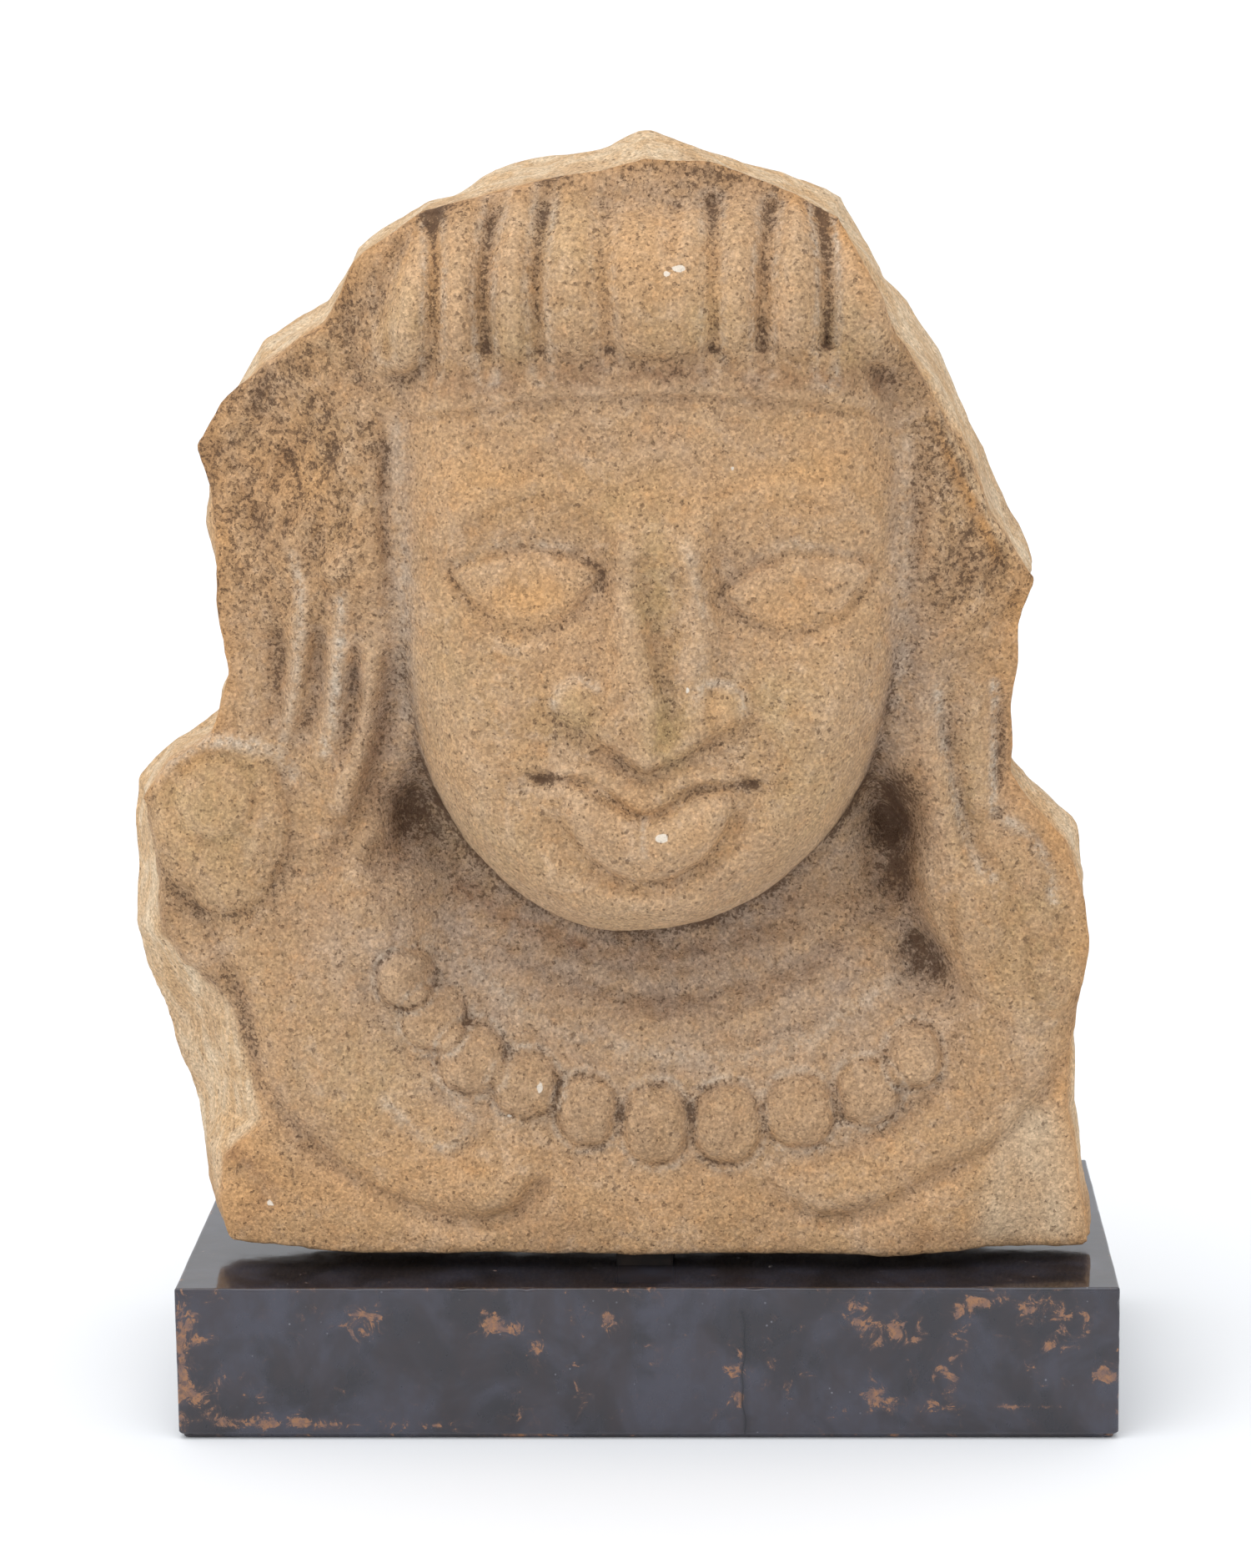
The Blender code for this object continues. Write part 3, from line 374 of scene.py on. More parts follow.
def nose(x, z):
    """A broad nose whose ridge has been knocked away between two ragged edges."""
    edge = np.array(NOSE_EDGE)
    lowest = np.interp(x, edge[:, 0], edge[:, 1])
    t = np.clip((NOSE_ROOT - z) / (NOSE_ROOT - 169.0), 0.0, 1.0)
    middle = 9.0 - 5.0 * t
    half_width = 13.5 + 7.0 * t**1.5
    ridge = (4.2 + 1.8 * t) * smooth_step(5.5, -5.5, np.abs(x - middle) - half_width)
    ridge += 2.0 * line_mound(x, z, [(-5, 236), (-2, 213), (1.5, 194), (2.5, 181), (3, 169)], 5.0)
    ridge += 2.0 * line_mound(x, z, [(15.5, 238), (19, 225), (22, 210), (20, 198)], 5.0, 0.3)
    keep = smooth_step(lowest - 3.0, lowest + 4.5, z) * smooth_step(NOSE_ROOT + 16.0, NOSE_ROOT - 6.0, z)
    left = 4.0 * dome(x, z, -19.0, 188.5, 9.0, 8.0)
    right = 4.0 * dome(x, z, 25.5, 185.5, 9.0, 9.0)
    ring = 1.4 * (mound(x, z, 25.5, 185.0, 12.0, 12.0) - mound(x, z, 25.5, 185.0, 8.0, 8.0))
    valley = [(2.5, 231), (4.5, 218), (6.5, 206), (8, 196), (10, 187), (10, 180), (8.5, 175)]
    knocked = 3.0 * line_mound(x, z, valley, 3.4)
    knocked += 1.8 * mound(x, z, 11.0, 214.0, 6.0, 16.0)
    knocked += 1.6 * line_mound(x, z, [(-7, 204), (-9.7, 193), (-11.4, 185), (-8, 187.5), (-2.5, 191)], 2.0)
    return keep * np.maximum(ridge - knocked * smooth_step(0.0, 0.3, t), np.maximum(left, right)) - 2.0 * ring


def mouth(x, z):
    """Full lips with a deep bow, a groove under them and a small round chin."""
    line, top = curve_through(MOUTH), curve_through(LIP_TOP)
    bow = np.interp(x, line[:, 0], line[:, 1])
    crest = np.interp(x, top[:, 0], top[:, 1])
    muzzle = 4.0 * mound(x, z, 3.0, 155.0, 38.0, 24.0)
    off = np.abs(x - 3.0)
    foot = 132.0 + 23.0 * np.clip(off / 28.5, 0.0, 1.15) ** 2.4
    part = np.clip((z - foot) / np.maximum(bow - foot, 0.5), 0.0, 1.0)
    lower = 6.4 * (1.0 - (2.0 * part - 1.0) ** 2) ** 0.6 * smooth_step(31.0, 20.0, off)
    rise = np.clip((z - bow) / np.maximum(crest - bow, 2.0), 0.0, 1.0)
    upper = 2.4 * (1.0 - (2.0 * rise - 1.0) ** 2) ** 0.5 * smooth_step(33.0, 26.0, off)
    cut = 1.7 * line_mound(x, z, MOUTH, 2.1)
    corners = 1.2 * (mound(x, z, -31.0, 164.3, 5.0, 3.0) + mound(x, z, 36.0, 162.3, 5.0, 3.0))
    under = 1.6 * line_mound(x, z, [(-27, 150), (-20, 140), (-6, 131), (6, 130), (22, 137), (32, 150)], 3.0)
    chin = 4.0 * mound(x, z, 2.0, 121.0, 20.0, 9.0)
    return muzzle + lower + upper - cut - corners - under + chin


def cheeks(x, z):
    return 3.5 * mound(x, z, -45.0, 186.0, 24.0, 24.0) + 3.5 * mound(x, z, 57.0, 186.0, 24.0, 24.0)


def cap(x, z):
    """Upright locks that swell out above the brow, parted by cuts and rounded at their ends."""
    level = cap_level(x, z)
    ends = smooth_step(0.0, 26.0, x + 98.0 - 0.35 * np.clip(z - 296.0, 0.0, None))
    ends = ends * quarter_round((86.0 - x) / 14.0)
    parted, cut = np.zeros(x.shape), np.zeros(x.shape)
    for deep, points in CAP_GROOVES:
        near = np.exp(-distance_to(x, z, curve_through(points))[0] / LOCK_ROUND)
        parted, cut = np.maximum(parted, near), np.maximum(cut, deep * near)
    swell = 99.5 - 0.018 * (z - 310.0) ** 2 - 6.0 * (np.abs(x) / 80.0) ** 2.5
    rise = quarter_round((level - CAP_FOOT + 2.0 - 6.0 * parted * smooth_step(308.0, 292.0, z)) / 7.5)
    depth = 60.0 + (swell - 60.0) * rise * ends - cut * rise * ends
    depth += 2.0 * mound(x, z, 5.0, 318.0, 16.0, 22.0) - 4.0 * mound(x, z, 8.0, 343.0, 18.0, 7.0)
    return np.where((level > CAP_FOOT - 3.0) & (ends > 0.0), depth, -200.0)


def relief(x, z):
    """Depth of the carved front at each x and z."""
    depth = ground(x, z) + side_strokes(x, z) + earrings(x, z)
    depth += smooth_step(150.0, 115.0, z) * (collar(x, z) + necklace(x, z) + neck_folds(x, z))
    face = face_mass(x, z) + brows(x, z) + nose(x, z) + mouth(x, z) + cheeks(x, z)
    for corners in EYES:
        face += eye(x, z, *corners)
    face -= 1.3 * bell(hair_level(x, z) - HAIRLINE, 1.9)
    depth = smooth_max(depth, face, 4.0)
    depth = smooth_max(depth, cap(x, z), 3.0)
    return depth - 4.0 * corner_chip(x, z, 16.0, 54.0, 34.0)


def stone_field(x, y, z):
    """Roughly the distance outside the stone, negative inside, on the grid of the three ranges."""
    flat_x, flat_z = np.meshgrid(x, z, indexing="ij")
    depth = relief(flat_x, flat_z) + fine_detail(flat_x, flat_z)
    depth[1:-1] = (depth[:-2] + 6.0 * depth[1:-1] + depth[2:]) / 8.0
    depth[:, 1:-1] = (depth[:, :-2] + 6.0 * depth[:, 1:-1] + depth[:, 2:]) / 8.0
    slope_x, slope_z = np.gradient(depth, x, z)
    steep = np.sqrt(1.0 + slope_x**2 + slope_z**2)
    away, set_in = outline_distance(flat_x, flat_z)
    edge = np.clip(depth, 40.0, 85.0)
    y3, depth3 = y[None, :, None], depth[:, None, :]
    front = (-y3 - depth3) / steep[:, None, :]
    ahead = np.clip((-y3 - OUTLINE_DEPTH) / (edge[:, None, :] - OUTLINE_DEPTH), 0.0, 1.3)
    behind = np.clip((y3 + OUTLINE_DEPTH) / (OUTLINE_DEPTH - BACK_DEPTH), 0.0, 1.5)
    side = away[:, None, :] + set_in[:, None, :] * ahead + 13.0 * behind**2
    back = y3 + BACK_DEPTH + 8.0 * ((flat_x / 160.0) ** 2 + ((flat_z - 180.0) / 200.0) ** 2)[:, None, :]
    lift = 0.22 * np.clip(y3 + 20.0, 0.0, None) + 0.08 * np.clip(-95.0 - flat_x, 0.0, None)[:, None, :]
    bed = lift - flat_z[:, None, :]
    seat = np.maximum(np.abs(flat_x - SEAT[0])[:, None, :], np.abs(y3 - SEAT[1])) - HALF_POST - SOCKET_ROOM
    seat = np.maximum(seat, flat_z[:, None, :] - POST_SEAT_IN_STONE * 1000.0 - SOCKET_ROOM)
    return np.maximum(smooth_max(smooth_max(front, side, 1.2), smooth_max(back, bed, 2.0), 2.0), -seat)


def fill_pinches(field, step):
    """The field with each corner filled where four cells would meet the surface along one edge."""
    for _ in range(6):
        inside = field < 0.0
        pinched = np.zeros(field.shape, bool)
        for u, v in ((0, 1), (0, 2), (1, 2)):
            a, b, c, d = (
                tuple(
                    slice(s, s - 1 or None) if axis == u
                    else slice(t, t - 1 or None) if axis == v
                    else slice(None)
                    for axis in range(3)
                )
                for s, t in ((0, 0), (1, 0), (0, 1), (1, 1))
            )
            crossed = (inside[a] == inside[d]) & (inside[b] == inside[c]) & (inside[a] != inside[b])
            for corner in (a, b, c, d):
                pinched[corner] |= crossed
        if not (pinched & ~inside).any():
            break
        field = np.where(pinched & ~inside, -0.15 * step, field)
    return field


def neighbours(grid, axis):
    """A grid's inner values, and those one place on along the axis."""
    low, high = [slice(1, -1)] * 3, [slice(1, -1)] * 3
    low[axis], high[axis] = slice(0, -1), slice(1, None)
    return grid[tuple(low)], grid[tuple(high)]


def rings(at, axis, offset, index_of):
    """The four indices round each edge that runs along the axis from a place in the list."""
    u, v = [(1, 2), (2, 0), (0, 1)][axis]
    found = []
    for du, dv in ((0, 0), (1, 0), (1, 1), (0, 1)):
        corner = at.copy()
        corner[:, u] += du + offset
        corner[:, v] += dv + offset
        found.append(index_of(tuple(corner.T)))
    return np.array(found).T


def surface_net(field, start, step):
    """Points and quads of the surface where the field is zero, one point in each cell that it crosses."""
    field = fill_pinches(field, step)
    inside = field < 0.0
    count = sum(
        inside[i : i - 1 or None, j : j - 1 or None, k : k - 1 or None].astype(np.int8)
        for i in (0, 1) for j in (0, 1) for k in (0, 1)
    )
    crossed = (count > 0) & (count < 8)
    index = np.full(crossed.shape, -1, np.int64)
    index[crossed] = np.arange(crossed.sum())
    total, hits, quads = np.zeros((crossed.sum(), 3)), np.zeros(crossed.sum()), []
    for axis in range(3):
        a, b = neighbours(field, axis)
        at = np.argwhere((a < 0.0) != (b < 0.0))
        low, high = a[tuple(at.T)], b[tuple(at.T)]
        base = at + 1
        base[:, axis] -= 1
        crossing = base.astype(float)
        crossing[:, axis] += low / (low - high)
        ring = rings(base, axis, -1, index.__getitem__)
        for column in ring.T:
            for c in range(3):
                total[:, c] += np.bincount(column, crossing[:, c], len(total))
            hits += np.bincount(column, minlength=len(total))
        quads.append(np.where((low < 0.0)[:, None], ring, ring[:, ::-1]))
    return start + step * total / hits[:, None], np.concatenate(quads)


def value_noise(points, size, seed):
    """Smooth random values from -1 to 1, on a lattice of that cell size."""
    scaled = points / size
    corner = np.floor(scaled).astype(np.int64)
    t = scaled - corner
    t = t * t * (3.0 - 2.0 * t)
    found = np.zeros(len(points))
    for i in (0, 1):
        for j in (0, 1):
            for k in (0, 1):
                key = (corner + (i, j, k)) * (73856093, 19349663, 83492791)
                mixed = (key[:, 0] ^ key[:, 1] ^ key[:, 2] ^ (seed * 2654435761)) & 0xFFFFFFFF
                mixed = (mixed ^ (mixed >> 15)) * 2246822519 & 0xFFFFFFFF
                mixed = (mixed ^ (mixed >> 13)) * 3266489917 & 0xFFFFFFFF
                weight = np.abs(1 - i - t[:, 0]) * np.abs(1 - j - t[:, 1]) * np.abs(1 - k - t[:, 2])
                found += weight * (((mixed ^ (mixed >> 16)) & 0xFFFF) / 32767.5 - 1.0)
    return found


def break_surface(points, normals):
    """Points of the stone with its broken sides, back and bed made uneven, and its front worn."""
    depth = relief(points[:, 0], points[:, 2])
    broken = smooth_step(2.0, 12.0, points[:, 1] + depth)
    back = smooth_step(0.0, 15.0, points[:, 1])
    uneven = 3.2 * value_noise(points, 34.0, 1) + 1.6 * (1.0 - back) * value_noise(points, 15.0, 2)
    on_bed = smooth_step(12.0, 3.0, points[:, 2])
    beside = smooth_step(76.0, 92.0, np.abs(points[:, 0] - HEAD_MIDDLE))
    beside = beside * smooth_step(165.0, 215.0, points[:, 2])
    worn = 0.8 * value_noise(points, 27.0, 4) + (0.45 + 1.4 * beside) * value_noise(points, 13.0, 3)
    off_post = np.maximum(np.abs(points[:, 0] - SEAT[0]), np.abs(points[:, 1] - SEAT[1]))
    free = np.maximum(smooth_step(11.5, 20.0, off_post), smooth_step(28.0, 40.0, points[:, 2]))
    moved = free * (broken * uneven * (1.0 - 0.8 * on_bed) + (1.0 - broken) * worn)
    return points + normals * moved[:, None]


def normals_of(points, faces, first, second):
    """Each point's normal, from the cross product of two edges or diagonals of the faces round it."""
    cross = np.cross(*(points[faces[:, end]] - points[faces[:, start]] for start, end in (first, second)))
    normals = np.zeros(points.shape)
    for c in range(3):
        for corner in faces.T:
            normals[:, c] += np.bincount(corner, cross[:, c], len(points))
    return normals / (np.linalg.norm(normals, axis=1)[:, None] + 1e-12)


def stone_mesh(voxel):
    """The broken and carved stone's surface, in carving units, as points and quads."""
    ranges = [np.arange(low, high, voxel) for low, high in STONE_ROOM]
    field = stone_field(*ranges)
    start = np.array([r[0] for r in ranges])
    points, quads = surface_net(field, start, voxel)
    return break_surface(points, normals_of(points, quads, (0, 2), (1, 3))), quads


def plane_noise(x, z, size, seed, stretch=1.0):
    """Noise over the front, drawn out along z by the stretch."""
    flat = np.stack([x.ravel(), np.zeros(x.size), z.ravel() / stretch], 1)
    return value_noise(flat, size, seed).reshape(x.shape)


def aslant(x, z):
    """The front's axes turned to run across and along the curls."""
    return 0.9 * x - 0.45 * z, 0.45 * x + 0.9 * z


def side_hair(x, z):
    """1 over the worn hair beside the head."""
    beside = smooth_step(78.0, 90.0, np.abs(x - HEAD_MIDDLE)) * smooth_step(196.0, 222.0, z)
    return beside * smooth_step(330.0, 300.0, z)


def on_neck(x, z):
    """1 over the neck and the chest above the necklace."""
    return mound(x, z, 4.0, 94.0, 80.0, 26.0) * smooth_step(96.0, 84.0, np.abs(x - HEAD_MIDDLE))


def fine_detail(x, z):
    """Carving and wear finer than the main forms."""
    across, along = aslant(x, z)
    bend = 5.0 * plane_noise(x, z, 22.0, 11)
    curls = 1.0 - 2.2 * np.abs(plane_noise(across + bend, along, 7.0, 12, 2.6))
    raised = side_hair(x, z) * (1.1 * curls - 0.8 * smooth_step(0.3, 0.8, plane_noise(x, z, 3.6, 13)))
    hollows = np.clip(sum(mound(x, z, *h[:4]) for h in HOLLOWS), 0.0, 1.0)
    raised += 0.35 * plane_noise(x, z, 10.0, 16) + (0.22 + 0.9 * hollows) * plane_noise(x, z, 4.6, 17)
    on_cap = smooth_step(294.0, 300.0, cap_level(x, z)) * smooth_step(92.0, 82.0, np.abs(x))
    strands = plane_noise(x, z, 4.2, 14, 5.0)
    raised += on_cap * (0.45 * strands - 0.5 * smooth_step(0.4, 0.9, plane_noise(x, z, 4.0, 15)))
    raised -= 2.6 * line_mound(x, z, CAP_BACK, 4.0, 0.1) + 3.0 * mound(x, z, -88.0, 293.0, 8.0, 9.0)
    for deep, points in CAP_GROOVES:
        off = distance_to(x, z, curve_through(points))[0]
        raised -= on_cap * deep * (0.12 * bell(off, 3.0) - 0.12 * bell(off - 8.0, 4.0))
    raised += 1.1 * on_neck(x, z) * plane_noise(x + 0.6 * z + bend, z - 0.12 * x, 6.0, 18, 0.45)
    raised += 0.7 * mound(x, z, 4.0, 54.0, 96.0, 26.0) * plane_noise(x, z, 5.0, 19)
    for height, half_width, points in FINE_CUTS:
        raised += height * line_mound(x, z, points, half_width, 0.25)
    return raised


# The cut behind the locks' tops, and finer cuts and ridges: height, half width and points.
CAP_BACK = [
    (-70, 333), (-60, 341), (-46, 346), (-24, 350), (2, 352.5), (28, 349), (52, 343), (68, 331), (78, 312),
]
FINE_CUTS = [
    (-1.6, 2.2, [(-91, 318), (-90, 300), (-86, 287), (-76, 281)]),
    (2.2, 4.5, [(81, 300), (84, 293), (80, 286)]),
    (-1.8, 2.4, [(74, 300), (74, 288), (79, 281), (87, 281)]),
    (-1.6, 2.4, [(-77, 272), (-78.5, 257), (-80, 243), (-79.5, 228)]),
    (-1.2, 2.0, [(88, 268), (91, 250), (90, 236), (93, 220)]),
    (-1.4, 2.2, [(-122, 280), (-112, 268), (-108, 250), (-114, 236)]),
    (-1.4, 2.2, [(-104, 296), (-98, 280), (-96, 262), (-100, 244)]),
    (-1.6, 2.4, [(-132, 262), (-124, 252), (-120, 238), (-124, 222)]),
    (-1.4, 2.2, [(101, 250), (104, 240), (101, 228), (106, 214)]),
    (-1.3, 2.2, [(112, 236), (113, 226), (109, 216)]),
    (-1.1, 2.0, [(-145, 268), (-136, 275), (-122, 276), (-108, 270), (-100, 258)]),
    (-1.0, 2.0, [(-140, 256), (-134, 265), (-124, 267), (-114, 261), (-110, 250)]),
    (-0.9, 1.8, [(-134, 252), (-128, 258), (-120, 256), (-118, 247)]),
    (-1.2, 2.0, [(118, 118), (123, 108), (125, 96)]),
    (-1.2, 1.8, [(131, 118), (134, 106), (132, 97)]),
    (-1.0, 1.6, [(-60, 118), (-40, 103), (-18, 97)]),
    (-0.9, 1.0, [(2, 153), (1.6, 147), (2, 141)]),
    (0.8, 1.6, [(-55, 232), (-44, 237), (-32, 237.5), (-20, 236)]),
    (0.8, 1.6, [(36, 233), (48, 237), (60, 236.5), (68, 233)]),
    (-1.0, 1.6, [(20, 70), (46, 74), (66, 84)]),
    (-0.9, 1.5, [(-50, 78), (-24, 66), (0, 62), (24, 62)]),
]


def blurred(grid, radius):
    """A grid smoothed by a bell of that radius in cells."""
    reach = int(3 * radius) + 1
    bell = np.exp(-0.5 * (np.arange(-reach, reach + 1) / radius) ** 2)
    bell /= bell.sum()
    for axis in (0, 1):
        padded = np.pad(grid, [(reach, reach) if a == axis else (0, 0) for a in (0, 1)], mode="edge")
        grid = sum(
            weight * (padded[i : i + grid.shape[0]] if axis == 0 else padded[:, i : i + grid.shape[1]])
            for i, weight in enumerate(bell)
        )
    return grid


def looked_up(grid, step, x, z):
    """A grid's values at points, between its cells."""
    u = np.clip((x - STONE_ROOM[0][0]) / step, 0, grid.shape[0] - 1.001)
    v = np.clip((z - STONE_ROOM[2][0]) / step, 0, grid.shape[1] - 1.001)
    i, j = u.astype(int), v.astype(int)
    s, t = u - i, v - j
    return (
        grid[i, j] * (1 - s) * (1 - t) + grid[i + 1, j] * s * (1 - t)
        + grid[i, j + 1] * (1 - s) * t + grid[i + 1, j + 1] * s * t
    )


# Light edges, partly worn pale stone and partly painted highlight along ridges and cut edges: half width, how
# much and points.
LIGHT_EDGES = [
    (1.5, 1.6, [(94.5, 187), (95.5, 174), (98.5, 158.6), (103, 140.3), (107, 130), (112, 125)]),
    (1.4, 1.4, [(112.3, 188), (112.8, 176), (112.3, 161), (112.3, 146)]),
    (1.6, 1.5, [(116.5, 143), (123, 139.5), (127.5, 133), (130.5, 126.4), (131.5, 117)]),
    (2.0, 1.1, [(-110, 231), (-107.5, 222), (-107.5, 208), (-110, 191), (-113, 178), (-116, 167)]),
    (2.0, 1.2, [(-93.5, 219), (-94.5, 205), (-96.5, 191), (-98, 178), (-102, 167)]),
    (3.0, 0.45, [(-74, 274), (-74.3, 246), (-73.5, 229), (-74.5, 206), (-74, 180)]),
    (3.0, 0.4, [(83, 272), (83.3, 243), (82.6, 214), (82.5, 190), (79, 165)]),
    (2.6, 0.9, [(-158, 158), (-145, 168), (-131, 170), (-117, 166), (-112, 158)]),
    (1.6, 0.8, [(-26, 187), (-24.5, 193), (-18.5, 196), (-12, 193)]),
    (1.6, 0.9, [(17.5, 186), (19.5, 192.5), (25.5, 194.5), (32, 191.5), (33.5, 185)]),
    (0.9, 0.9, [(2, 153), (1.6, 147), (2, 141)]),
    (1.5, 0.5, [(15.5, 238), (19, 225), (22, 210), (20, 198)]),
    (1.6, 0.5, [(-55, 232), (-44, 237), (-32, 237.5), (-20, 236)]),
    (1.6, 0.4, [(36, 233), (48, 237), (68, 233)]),
    (3.0, 0.5, [(-72, 103), (-58, 96), (-44, 84), (-30, 76), (-8, 69), (20, 66), (46, 69),
                (66, 80), (84, 92)]),
    (2.2, 0.8, [(-62, 52), (-57, 44), (-64, 37), (-72, 40), (-84, 52)]),
    (2.4, 0.5, [(36, 28), (44, 33), (62, 38), (84, 50)]),
]
# Brown stains along folds, partly real staining and partly painted shade in creases, under the chin and under
# the locks: half width, how much and points.
BROWN_STAINS_AND_SHADE = [
    (4.0, 0.6, [(-66, 131), (-52, 116), (-30, 103), (-6, 97), (20, 98), (46, 106)]),
    (3.0, 0.7, [(-60, 118), (-40, 107), (-18, 101)]), (4.6, 1.0, [(-60, 286), (0, 290), (76, 286)]),
    (3.0, 0.5, [(-81, 176), (-85, 162), (-92, 148), (-101, 133)]),
    (3.6, 0.4, [(-48, 96), (-20, 84), (10, 78)]), (3.0, 0.6, [(40, 112), (56, 116), (70, 112)]),
    (3.0, 0.5, [(-88, 190), (-90, 178), (-95, 164)]),
    (2.4, 0.4, [(88, 176), (90, 160), (94, 140), (97, 120)]), (9.0, 0.8, [(-80, 147), (-80, 134)]),
    (9.0, 0.9, [(81, 143), (80, 122)]), (11.0, 0.6, [(128, 124), (129, 96)]),
    (9.0, 0.45, [(-138, 158), (-136, 132)]), (5.0, 0.4, [(-112, 262), (-120, 250), (-118, 238)]),
    (4.0, 0.8, [(-139, 34), (-130, 30), (-124, 20), (-131, 12)]),
    (6.0, 0.3, [(-40, 12), (-26, 9), (-10, 8)]), (4.0, 0.5, [(86, 6), (110, 5), (128, 7)]),
    (2.4, 0.6, [(-79, 205), (-81, 188), (-85, 172), (-90, 156)]),
    (4.0, 0.5, [(62, 96), (44, 88), (20, 82), (0, 82)]),
]
# Painted shade, with some dirt, in fine creases such as the mouth's parting, the lower lids and the nose's
# lower edge: half width, how much and points.
DARK_LINES = [
    (1.2, 0.8, [(-32, 164.5), (-26, 165), (-18, 162.5), (-10, 157.5)]),
    (1.2, 0.7, [(37, 162.5), (30, 162.5), (22, 161), (15, 158)]),
    (1.1, 0.35, [(-58, 228), (-50, 219), (-38, 213), (-26, 211.5), (-16, 216), (-10.5, 225)]),
    (1.1, 0.3, [(27, 222), (32, 214), (44, 209.5), (58, 211), (69, 219), (74, 227)]),
    (1.0, 0.4, [(-26, 186), (-18, 177), (-6, 170), (3, 167.5), (12, 170), (24, 176)]),
    (1.0, 0.5, [(-112, 246), (-104, 258), (-96, 262)]),
    (1.0, 0.5, [(-134, 262), (-122, 268), (-110, 262), (-106, 250)]),
    (1.0, 0.5, [(-128, 250), (-120, 256), (-113, 250)]), (1.0, 0.4, [(-50, 112), (-30, 101), (-6, 95)]),
]
# Yellower, greener stone: x, z, radii and how much.
OLIVE = [
    (5.5, 222, 6, 16, 0.8), (9.5, 181, 7, 12, 0.9), (-21, 185, 9, 8, 0.7), (-52, 140, 22, 18, 0.4),
    (40, 188, 16, 14, 0.4), (-4, 116, 12, 6, 0.5), (-138, 146, 18, 24, 0.7), (128, 104, 14, 26, 0.6),
    (-70, 306, 8, 12, 0.5), (-36, 304, 8, 10, 0.5), (20, 306, 14, 12, 0.4), (66, 302, 9, 12, 0.5),
    (0, 252, 12, 10, 0.4), (56, 150, 16, 22, 0.4), (104, 150, 6, 22, 0.4), (-60, 190, 14, 22, 0.3),
    (-90, 60, 18, 20, 0.3), (-20, 330, 12, 16, 0.3),
]
# Where dirt has gathered, and painted shade in the hollows beside the neck, the mouth's corners and other
# recesses: x, z, radii and how much.
GRIME_AND_SHADE = [
    (-60, 341, 11, 7, 1.0), (-23, 350, 8, 5, 0.8), (20, 350, 17, 6, 1.0), (-90, 318, 8, 12, 0.5),
    (-126, 284, 22, 8, 0.5), (-104, 262, 10, 16, 0.3), (-138, 262, 8, 20, 0.4), (-80, 266, 3, 9, 0.5),
    (107, 246, 12, 18, 0.35), (100, 226, 16, 12, 0.35), (90, 262, 6, 18, 0.5), (86, 290, 14, 9, 0.6),
    (96, 200, 12, 16, 0.3), (-117, 126, 8, 14, 0.6), (-135, 113, 18, 6, 0.7), (-153, 126, 4, 12, 0.7),
    (-116, 192, 4, 22, 0.7), (-76, 145, 9, 11, 1.0), (-64, 124, 9, 5, 0.5), (81, 140, 9, 13, 1.4),
    (82, 122, 6, 7, 0.9), (91, 95, 9, 10, 1.0), (76, 122, 10, 14, 0.35), (84, 156, 5, 6, 0.9),
    (-70, 138, 12, 10, 0.6), (-84, 120, 8, 14, 0.4), (81, 152, 8, 5, 0.8), (100.5, 176, 5, 9, 0.7),
    (116, 168, 4, 12, 0.8), (102, 150, 4, 10, 0.5), (104, 72, 5, 6, 0.5), (108, 85, 5, 6, 0.5),
    (-141, 90, 8, 5, 0.8), (-131, 76, 4, 14, 0.8), (-127, 58, 3, 12, 0.5), (-98, 133, 5, 9, 0.4),
    (0, 296, 88, 4, 0.35), (-90, 176, 6, 20, 0.4), (-60, 116, 20, 5, 0.4), (60, 110, 20, 6, 0.3),
    (-31, 164, 6, 3, 1.0), (36, 162, 6, 3, 1.0), (-22, 180, 12, 6, 0.5), (29, 176, 12, 7, 0.6),
    (8, 212, 6, 26, 0.35), (-10, 228, 8, 8, 0.5), (25, 224, 8, 8, 0.4), (-112, 36, 14, 20, 0.4),
]
# Greyer, pinker stone in sheltered places, and warmer orange stone.
GREY = [
    (0, 84, 70, 18, 0.8), (-56, 98, 26, 16, 0.8), (66, 88, 26, 18, 0.7), (0, 60, 90, 14, 0.45),
    (-88, 110, 12, 14, 0.5), (124, 66, 8, 16, 0.7), (-72, 225, 5, 40, 0.5), (-78, 128, 12, 12, 0.4),
    (0, 266, 80, 6, 0.3), (82, 230, 5, 40, 0.4), (-93, 190, 16, 34, 0.6), (92, 190, 10, 40, 0.6),
    (-86, 110, 16, 26, 0.6), (118, 150, 12, 30, 0.4), (-4, 330, 60, 14, 0.3), (-110, 60, 16, 40, 0.4),
    (0, 286, 90, 6, 0.3),
]
OCHRE = [
    (4, 330, 40, 26, 0.5), (-70, 316, 26, 24, 0.4), (-120, 250, 24, 40, 0.5), (10, 258, 70, 16, 0.3),
    (-144, 150, 22, 26, 0.2), (-130, 40, 14, 30, 0.7), (130, 28, 30, 20, 0.3), (110, 230, 16, 30, 0.4),
    (-14, 108, 50, 8, 0.5), (0, 22, 120, 16, 0.35), (-20, 196, 12, 18, 0.25), (-38, 228, 26, 14, 0.3),
    (-96, 240, 12, 40, 0.3), (28, 185, 7, 7, 0.6), (-100, 20, 60, 20, 0.4), (-48, 258, 16, 10, 0.8),
    (-34, 219, 18, 8, 0.8), (52, 216, 19, 8, 0.7), (-72, 276, 10, 9, 0.6), (54, 258, 18, 12, 0.5),
    (22, 146, 8, 6, 0.5), (-2, 157, 6, 5, 0.5), (-120, 262, 20, 14, 0.6), (62, 150, 12, 10, 0.4),
    (-60, 168, 12, 10, 0.3), (30, 312, 14, 10, 0.4), (-62, 316, 10, 12, 0.4),
]
